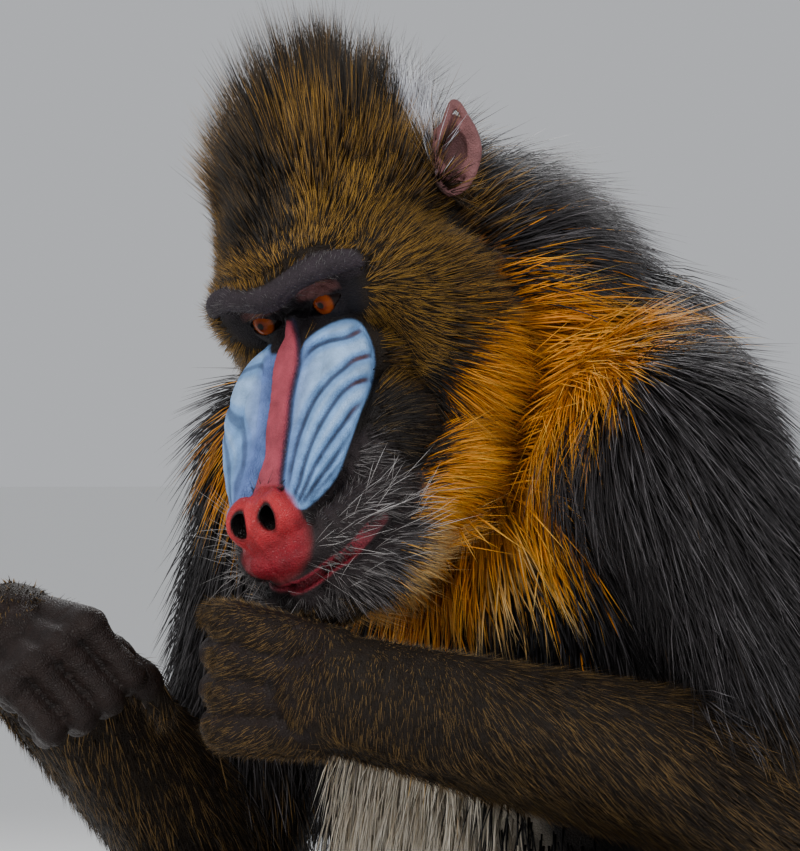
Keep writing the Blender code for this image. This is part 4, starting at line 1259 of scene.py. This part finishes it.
def flow_at(body, part, rng):
    """The lie, length, lift and kind of hair at each root, from the guides of its part."""
    lie = np.zeros((len(body), 3))
    length, lift = np.zeros(len(body)), np.zeros(len(body))
    kind = np.zeros(len(body), int)
    kinds = list(HAIR)
    guides = all_guides()
    for index, name in enumerate(PART_NAMES):
        here = np.where(part == index)[0]
        if not len(here):
            continue
        rows = guides[name]
        places = np.array([row[0] for row in rows])
        ways = np.array([tuple(Vector(row[1]).normalized()) for row in rows])
        gaps = np.linalg.norm(body[here][:, None] - places[None], axis=2)
        near = 1 / (gaps + 4) ** 4
        near /= near.sum(1)[:, None]
        lie[here] = near @ ways
        length[here] = near @ np.array([row[2] for row in rows])
        lift[here] = near @ np.array([row[3] for row in rows])
        sharp = near**1.6
        sharp = np.cumsum(sharp / sharp.sum(1)[:, None], axis=1)
        pick = (rng.random(len(here))[:, None] > sharp).sum(1).clip(0, len(rows) - 1)
        kind[here] = np.array([kinds.index(row[4]) for row in rows])[pick]
    return lie, length, lift, kind


def unit(vectors):
    """The same directions, each of length 1."""
    return vectors / (np.linalg.norm(vectors, axis=1)[:, None] + 1e-9)


# How much of its cell each side of the unwrap fills, and the margin before it.
CELL_SHARE, CELL_MARGIN = 0.94, 0.02

# A tuft's own small patch of the unwrap: the corners of a ring, how far up each ring lies, and the tip.
RING_PATCH, RING_RISE, TIP_PATCH = ((0.0, 0.0), (0.003, 0.0), (0.0015, 0.0006)), 0.0022, (0.0015, 0.003)


def bake_places(roots, normals):
    """Each root's place on a six-sided unwrap of the body, one cell of a 3 by 2 grid for each side."""
    low, high = np.array(CAD_BOX[0]), np.array(CAD_BOX[1])
    share = (roots - low) / (high - low)
    axis = np.abs(normals).argmax(1)
    positive = normals[np.arange(len(normals)), axis] > 0
    first = np.where(axis == 0, 1, 0)
    second = np.where(axis == 2, 1, 2)
    rows = np.arange(len(roots))
    u = np.clip(share[rows, first], 0, 1) * CELL_SHARE + CELL_MARGIN
    v = np.clip(share[rows, second], 0, 1) * CELL_SHARE + CELL_MARGIN
    return np.stack([(axis + u) / 3, (positive + v) / 2], axis=1)


# How deep a tuft is rooted in the skin, and the length from which it has two rings, in metres.
ROOT_DEPTH, LONG_TUFT = 0.0012, 0.018


def build_tufts(name, roots, normals, lie, length, lift, width, tones, rng, levels, droop=0.15):
    """A joined mesh of three-sided tapered tufts with closed roots, its colours and its unwrap."""
    count = len(roots)
    lie = unit(lie - normals * (lie * normals).sum(1)[:, None])
    body = to_body(roots)
    lie = unit(lie + rng.normal(0, 0.12, (count, 3)) + clumps(body, 2.6) * 0.11)
    across = unit(np.cross(lie, normals))
    rise = lift + rng.normal(0, 0.10, count)
    fade = np.clip(1.15 - rise, 0.08, 0.75)
    rings = []
    point = roots - normals * ROOT_DEPTH
    steps = [0.0] + [b - a for a, b in zip(levels, levels[1:])] + [1 - levels[-1]]
    for level, step in zip(list(levels) + [1.0], steps):
        turn = rise * (1 - fade * (level if len(levels) > 1 else 0.6))
        heading = lie * np.cos(turn)[:, None] + normals * np.sin(turn)[:, None]
        heading[:, 2] -= droop * level * np.clip(1.2 - rise, 0, 1)
        heading = unit(heading)
        point = point + heading * (length * step)[:, None]
        if level < 1:
            half = width * (1 - 0.5 * level) * 0.5
            upward = unit(np.cross(across, heading)) * -1
            aside = across * half[:, None]
            ring = [point + aside, point - aside, point + upward * (half * 0.9)[:, None]]
            rings.append(np.stack(ring, axis=1))
        else:
            tip = point
    per = 3 * len(levels) + 1
    points = np.concatenate([np.concatenate(rings, axis=1), tip[:, None]], axis=1).reshape(-1, 3)
    faces = [(0, 2, 1)]
    for i in range(len(levels) - 1):
        for k in range(3):
            after = (k + 1) % 3
            a, b, c, d = 3 * i + k, 3 * i + after, 3 * i + 3 + after, 3 * i + 3 + k
            faces += [(a, b, c), (a, c, d)]
    last = 3 * (len(levels) - 1)
    faces += [(last + k, last + (k + 1) % 3, per - 1) for k in range(3)]
    faces = np.array(faces)
    first = np.arange(count)[:, None, None] * per
    points[:, 2] = np.maximum(points[:, 2], COAT_CLEARANCE)
    obj = new_mesh(name, points, (faces[None] + first).reshape(-1, 3))
    colour_points(obj, "tone", np.repeat(tones, [3] * len(levels) + [1], axis=1).reshape(-1, 3))
    places = bake_places(roots, normals)
    rings = [np.array(RING_PATCH) + (0, RING_RISE * level) for level in levels]
    patch = np.concatenate([*rings, [TIP_PATCH]])
    vertex_places = (places[:, None] + patch[None]).reshape(-1, 2)
    layer = obj.data.uv_layers.new(name="OFBake")
    corners = np.empty(len(obj.data.loops), np.int32)
    obj.data.loops.foreach_get("vertex_index", corners)
    layer.data.foreach_set("uv", vertex_places[corners].astype(np.float32).ravel())
    return obj


def tones_of(kind, rng, levels, body):
    """Colours along each tuft: most plain, some ticked, each a little lighter or darker."""
    count = len(kind)
    share = np.array([row[0] for row in HAIR.values()])
    colours = np.array([[paint(*colour) for colour in row[1:]] for row in HAIR.values()])
    table, ticked = colours[:, [0, 1, 2]], colours[:, [0, 3, 4]]
    use = rng.random(count) < share[kind]
    rows = np.where(use[:, None, None], ticked[kind], table[kind])
    stops = [0.25, 1.0] if len(levels) == 1 else list(levels) + [1.0]
    out = []
    for stop in stops:
        low = int(min(stop * 2, 1))
        mix = stop * 2 - low
        out.append(rows[:, low] * (1 - mix) + rows[:, low + 1] * mix)
    tones = np.stack(out, axis=1)
    vary = rng.normal(1, 0.15, count) * (1 + 0.14 * clumps(body, 6)[:, 0])
    return np.clip(tones * vary.clip(0.5, 1.7)[:, None, None], 0, 1)


COAT_PIECES = {
    "coat_head": ("head",), "coat_mane": ("neck",), "coat_trunk": ("trunk", "tail"),
    "coat_arm_left": ("upper_arm_left",), "coat_forearm_left": ("forearm_left", "hand_left"),
    "coat_arm_right": ("upper_arm_right", "forearm_right", "hand_right"),
    "coat_legs": ("thigh_left", "thigh_right", "shin_left", "shin_right", "foot_left", "foot_right"),
}
COAT_SLOTS = {
    "coat_head": "coat_head", "coat_mane": "coat_mane", "coat_trunk": "coat_body",
    "coat_arm_left": "coat_mane", "coat_forearm_left": "coat_limb", "coat_arm_right": "coat_limb",
    "coat_legs": "coat_limb",
}
MOST_TRIANGLES = 190000


def grow_coat(skin):
    """The whole coat, in pieces that are small enough, each with the slot that it belongs to."""
    rng = np.random.default_rng(COAT_SEED)
    share = 1.0
    dense = np.array([DENSITY[name][0] for name in PART_NAMES], float)

    def density(middle, normals):
        body, local = to_body(middle), to_head(middle)
        part = parts_of(body)
        crest = smooth_step(local[:, 1] + local[:, 2], 40, 90) * is_part(part, "head")
        return dense[part] * (1 - 0.42 * crest) * (1 - bare_share(body, local, part, normals)) * share

    roots, normals = sample_roots(skin, rng, density)
    body = to_body(roots)
    part = parts_of(body)
    lie, length, lift, kind = flow_at(body, part, rng)
    kind = kind_at(kind, body, lie, length * 0.6, part, rng)
    length = length * MM * rng.normal(1, 0.14, len(roots)).clip(0.6, 1.35)
    width = np.array([DENSITY[name][1] for name in PART_NAMES])[part] * MM
    width = width * rng.uniform(0.7, 1.3, len(roots)) / math.sqrt(share)
    width = np.minimum(width, length * 0.22)
    clear_below = body[:, 2] < 45
    lie[clear_below, 2] = np.maximum(lie[clear_below, 2], 0)
    pieces = []
    for name, parts in COAT_PIECES.items():
        rows = np.where(is_part(part, *parts))[0]
        long = length[rows] > LONG_TUFT
        for suffix, chosen, levels in (("long", rows[long], (0.0, 0.5)), ("short", rows[~long], (0.0,))):
            per = 6 * (len(levels) - 1) + 4
            most = MOST_TRIANGLES // per
            for start in range(0, len(chosen), most):
                some = chosen[start : start + most]
                tones = tones_of(kind[some], rng, levels, body[some])
                piece = build_tufts(
                    f"{name}_{suffix}_{start // most + 1}", roots[some], normals[some], lie[some],
                    length[some], lift[some], width[some], tones, rng, levels,
                )
                pieces.append((piece, COAT_SLOTS[name]))
    return pieces


# Whiskers and brow bristles.


# Colours of a bristle from its root to its tip.
BRISTLE_TONES = ((80, 74, 74), (170, 164, 162), (208, 204, 202), (220, 216, 214))


def grow_bristles(skin):
    """Long pale bristles on the lips, chin and cheeks, and short ones on the brow."""
    rng = np.random.default_rng(BRISTLE_SEED)
    points, normals = points_of(skin), normals_of(skin)
    local = to_head(points)
    face = face_regions(local, normals)
    view = face["view"]
    front = is_part(parts_of(to_body(points)), "head") & (face["front"] > 0.5)
    lip = 4.2 - face["lip"]
    side = front & (lip > 4) & (lip < 18) & (view[:, 0] > 4) & (face["nose"] < -2) & (face["cheek"] < -3)
    above = side & (view[:, 1] > -128 + view[:, 0] * 0.3)
    brow, fringe = face["brow"] > 1.0, (face["brow"] > -1) & (face["brow"] < 1)
    # Where each group grows, how many there are, their length, their lift and their width.
    groups = (
        (above, 100, 34, 0.85, 0.27), (side, 110, 22, 0.8, 0.25),
        (front & brow, 420, 4.5, 0.8, 0.26), (front & fringe, 160, 7, 0.5, 0.26),
    )
    roots, ways, sizes, widths, ups = [], [], [], [], []
    for mask, count, length, lift, width in groups:
        rows = rng.choice(np.where(mask)[0], count)
        roots.append(rows)
        sizes.append(length * rng.uniform(0.45, 1.3, count))
        widths.append(np.full(count, width))
        ups.append(np.full(count, lift))
        outward = np.sign(local[rows, 0] + 0.01)
        rise = rng.normal(0.1 if length > 15 else 0.9, 0.35, count)
        ways.append(unit(np.stack([outward * 0.5, np.full(count, 0.6), rise], 1)) @ np.array(HEAD.to_3x3()).T)
    rows = np.concatenate(roots)
    colour = np.array([paint(*tone) for tone in BRISTLE_TONES])
    dull = np.where(np.concatenate(sizes) < 10, 0.3, 1.0) * rng.uniform(0.55, 1.05, len(rows))
    tones = np.tile(colour, (len(rows), 1, 1)) * dull[:, None, None]
    return build_tufts(
        "whiskers", points[rows], normals[rows], np.concatenate(ways), np.concatenate(sizes) * MM,
        np.concatenate(ups), np.concatenate(widths) * MM, tones, rng, (0.0, 0.35, 0.7), droop=0.5,
    )


# Eyes, nails.


# Colours of the eye: round the iris, the iris, its inner part and the pupil.
EYE_COLOURS = {"round": (26, 15, 13), "iris": (134, 62, 22), "inner": (92, 36, 14), "pupil": (2, 2, 2)}
# Where each of them fades out, in radians from the middle of the gaze.
EYE_FADES = {"iris": (0.58, 0.64), "inner": (0.2, 0.40), "pupil": (0.15, 0.19)}
IRIS_RIM, IRIS_RIM_WIDTH = 0.60, 0.06


def make_eyes():
    """Two eyeballs, ringed round the way that they look, with a raised front."""
    gaze = Vector((0, -1, 0.02)).normalized()
    pieces = []
    hues = {name: np.array(paint(*colour)) for name, colour in EYE_COLOURS.items()}
    for name, side in SIDES.items():
        bpy.ops.object.select_all(action="DESELECT")
        bpy.ops.mesh.primitive_uv_sphere_add(segments=64, ring_count=48, radius=EYE_RADIUS * MM)
        eye = bpy.context.active_object
        eye.name = f"eyeball_{name}"
        only(eye)
        bpy.ops.object.shade_smooth()
        points = points_of(eye)
        height = points[:, 2] / (EYE_RADIUS * MM)
        lens = smooth_step(height, 0.86, 1.0)
        points[:, 2] += lens * 0.0009
        radial = np.arccos(np.clip(height, -1, 1))
        iris, inner, pupil = (
            smooth_step(-radial, -end, -start)[:, None] for start, end in EYE_FADES.values()
        )
        angle = np.arctan2(points[:, 1], points[:, 0])
        streak = 0.8 + 0.2 * np.sin(angle * 23) * np.sin(radial * 40)
        iris_colour = hues["iris"] * streak[:, None] * (1 - inner) + hues["inner"] * inner
        colour = hues["round"] * (1 - iris) + iris_colour * iris
        rim = np.exp(-(((radial - IRIS_RIM) / IRIS_RIM_WIDTH) ** 2))[:, None]
        colour = colour * (1 - 0.8 * rim)
        colour = colour * (1 - pupil) + hues["pupil"] * pupil
        colour_points(eye, "marking", colour)
        spin = Vector((0, 0, 1)).rotation_difference(gaze).to_matrix().to_4x4()
        centre = Matrix.Translation(Vector((side * EYE_CENTRE[0], EYE_CENTRE[1], EYE_CENTRE[2])) * MM)
        place = np.array(HEAD @ centre @ spin)
        set_points(eye, points @ place[:3, :3].T + place[:3, 3])
        pieces.append(eye)
    return pieces


def make_nails():
    """One curved nail on each finger and toe."""
    nails = []
    for point, direction, back, radius in NAILS:
        bpy.ops.object.select_all(action="DESELECT")
        bpy.ops.mesh.primitive_uv_sphere_add(segments=20, ring_count=12, radius=1)
        nail = bpy.context.active_object
        only(nail)
        bpy.ops.object.shade_smooth()
        along = direction.normalized()
        up = (back - along * back.dot(along)).normalized()
        side = along.cross(up)
        points = points_of(nail)
        bent = points.copy()
        bent[:, 2] -= bent[:, 0] ** 2 * 0.9 + np.maximum(bent[:, 1], 0) * 0.25
        scale = np.array([radius * 0.66, radius * 0.95, radius * 0.22]) * MM
        axes = np.array([tuple(side), tuple(along), tuple(up)])
        centre = np.array(BODY @ (point * MM))
        set_points(nail, bent * scale @ axes + centre)
        nails.append(nail)
    only(nails[0])
    for nail in nails:
        nail.select_set(True)
    bpy.ops.object.join()
    nails[0].name = "nails"
    return nails[0]


def new_material(name):
    """A material with its node tree and its shader."""
    material = bpy.data.materials.new(name)
    material.use_nodes = True
    return material, material.node_tree, material.node_tree.nodes["Principled BSDF"]


def set_inputs(node, **constants):
    for name, value in constants.items():
        node.inputs[name.replace("_", " ")].default_value = value


def add_node(tree, kind, **constants):
    """A node with the constants of its inputs."""
    node = tree.nodes.new("ShaderNode" + kind)
    set_inputs(node, **constants)
    return node


def add_attribute(tree, name):
    node = tree.nodes.new("ShaderNodeAttribute")
    node.attribute_name = name
    return node


def link(tree, *links):
    """Links given as a node, its output, the next node and that one's input."""
    for source, given, target, taken in links:
        tree.links.new(source.outputs[given], target.inputs[taken])


def skin_group():
    """Mottles a colour and gives the height of pebbled, finely creased skin."""
    group = bpy.data.node_groups.new("bare_skin_detail", "ShaderNodeTree")
    for name, way, kind in (
        ("Color", "INPUT", "Color"), ("Grain", "INPUT", "Float"), ("Color", "OUTPUT", "Color"),
        ("Height", "OUTPUT", "Float"),
    ):
        group.interface.new_socket(name, in_out=way, socket_type="NodeSocket" + kind)
    given, result = group.nodes.new("NodeGroupInput"), group.nodes.new("NodeGroupOutput")
    place = add_node(group, "TexCoord")
    pebble = add_node(group, "TexVoronoi")
    pebble.feature = "DISTANCE_TO_EDGE"
    crease = add_node(group, "TexNoise", Scale=900, Detail=6)
    mottle = add_node(group, "TexNoise", Scale=120, Detail=4)
    shade = add_node(group, "MapRange", From_Min=0.3, From_Max=0.7, To_Min=0.72, To_Max=1.2)
    tint = add_node(group, "VectorMath")
    tint.operation = "SCALE"
    edge = add_node(group, "MapRange", From_Max=0.25)
    height = add_node(group, "Math")
    height.operation = "MULTIPLY_ADD"
    height.inputs[1].default_value = 0.5
    link(
        group,
        (place, "Object", pebble, "Vector"), (place, "Object", crease, "Vector"),
        (place, "Object", mottle, "Vector"), (given, "Grain", pebble, "Scale"),
        (mottle, "Fac", shade, "Value"), (given, "Color", tint, 0), (shade, "Result", tint, "Scale"),
        (tint, "Vector", result, "Color"), (pebble, "Distance", edge, "Value"), (crease, "Fac", height, 0),
        (edge, "Result", height, 2), (height, "Value", result, "Height"),
    )
    return group


def skin_material(group):
    material, tree, shader = new_material("bare_skin")
    marking, wet = add_attribute(tree, "marking"), add_attribute(tree, "wet")
    detail = tree.nodes.new("ShaderNodeGroup")
    detail.node_tree = group
    set_inputs(detail, Grain=700)
    bump = add_node(tree, "Bump", Strength=0.5, Distance=0.0008)
    gloss = add_node(tree, "MapRange", To_Min=0.66, To_Max=0.36)
    link(
        tree,
        (marking, "Color", detail, "Color"), (detail, "Color", shader, "Base Color"),
        (detail, "Height", bump, "Height"), (bump, "Normal", shader, "Normal"),
        (wet, "Fac", gloss, "Value"), (gloss, "Result", shader, "Roughness"),
    )
    set_inputs(shader, Specular_IOR_Level=0.26)
    return material


def painted_material(name, attribute, roughness, shine):
    """A material whose colours are those that the object keeps for its points."""
    material, tree, shader = new_material(name)
    link(tree, (add_attribute(tree, attribute), "Color", shader, "Base Color"))
    set_inputs(shader, Roughness=roughness, Specular_IOR_Level=shine)
    return material


def nail_material():
    material, tree, shader = new_material("nail")
    place, grain = add_node(tree, "TexCoord"), add_node(tree, "TexNoise", Scale=300)
    ramp = add_node(tree, "ValToRGB")
    ramp.color_ramp.elements[0].color = (*paint(40, 32, 30), 1)
    ramp.color_ramp.elements[1].color = (*paint(92, 78, 72), 1)
    link(
        tree,
        (place, "Object", grain, "Vector"), (grain, "Fac", ramp, "Fac"),
        (ramp, "Color", shader, "Base Color"),
    )
    set_inputs(shader, Roughness=0.3)
    return material


# Floor, light, camera.


# Each light: where it is, where it points, its size, its power and its colour.
LIGHTS = {
    "key": ((0.6, -2.2, 2.4), (0, 0, 0.35), 1.4, 62, (1.0, 0.98, 0.95)),
    "fill": ((2.6, 0.3, 1.4), (0, 0, 0.3), 1.8, 22, (0.95, 0.97, 1.0)),
    "rim": ((-1.4, 1.8, 2.0), (0, 0, 0.4), 1.2, 45, (1.0, 1.0, 1.0)),
}


def make_stage():
    """A plain pale floor and soft studio light."""
    bpy.ops.object.select_all(action="DESELECT")
    bpy.ops.mesh.primitive_circle_add(vertices=96, radius=40, fill_type="NGON")
    floor = bpy.context.active_object
    floor.name = "floor"
    material, tree, shader = new_material("floor")
    set_inputs(shader, Base_Color=(0.92, 0.92, 0.91, 1), Roughness=0.9, Specular_IOR_Level=0.1)
    floor.data.materials.append(material)
    world = bpy.data.worlds.new("studio")
    world.use_nodes = True
    set_inputs(world.node_tree.nodes["Background"], Color=(0.86, 0.88, 0.92, 1), Strength=0.6)
    bpy.context.scene.world = world
    for name, (place, target, size, power, colour) in LIGHTS.items():
        data = bpy.data.lights.new(name, "AREA")
        data.size = size
        data.energy = power
        data.color = colour
        lamp = bpy.data.objects.new(name, data)
        bpy.context.scene.collection.objects.link(lamp)
        lamp.location = place
        lamp.rotation_euler = (Vector(target) - Vector(place)).to_track_quat("-Z", "Y").to_euler()


def make_camera():
    """The camera, where the photo's stood and with its width of view."""
    data = bpy.data.cameras.new("camera")
    data.sensor_fit = "HORIZONTAL"
    data.sensor_width = 36
    data.lens = FOCAL_PIXELS / PIXELS_WIDE * data.sensor_width
    camera = bpy.data.objects.new("camera", data)
    bpy.context.scene.collection.objects.link(camera)
    view = Matrix((CAMERA_RIGHT, Vector((0, 0, 1)), -CAMERA_FORWARD)).transposed().to_4x4()
    view.translation = (CAMERA_PLACE - BOX_MIDDLE) * MM
    camera.matrix_world = view
    bpy.context.scene.camera = camera


FLESH = ["head", "neck", "torso", "tail"] + [
    f"{part}_{side}" for side in ("left", "right")
    for part in ("ear", "upper_arm", "forearm", "hand", "thigh", "shin", "foot", "seat_pad")
]


def build():
    """Dresses the part: the skin, the coat, the whiskers, the eyes and the nails."""
    make_camera()
    make_stage()
    skin = make_skin()
    colour_skin(skin)
    skin.data.materials.clear()
    skin.data.materials.append(skin_material(skin_group()))
    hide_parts(*FLESH)
    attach(skin, "root")
    fur = painted_material("coat", "tone", 0.5, 0.35)
    for piece, slot in grow_coat(skin):
        piece.data.materials.append(fur)
        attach(piece, "root")
    whiskers = grow_bristles(skin)
    whiskers.data.materials.append(painted_material("bristle", "tone", 0.35, 0.35))
    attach(whiskers, "root")
    glossy = painted_material("eye", "marking", 0.12, 0.12)
    for piece, node in zip(make_eyes(), ("eye_left", "eye_right")):
        piece.data.materials.append(glossy)
        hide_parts(node)
        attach(piece, "root")
    nails = make_nails()
    nails.data.materials.append(nail_material())
    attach(nails, "root")


build()
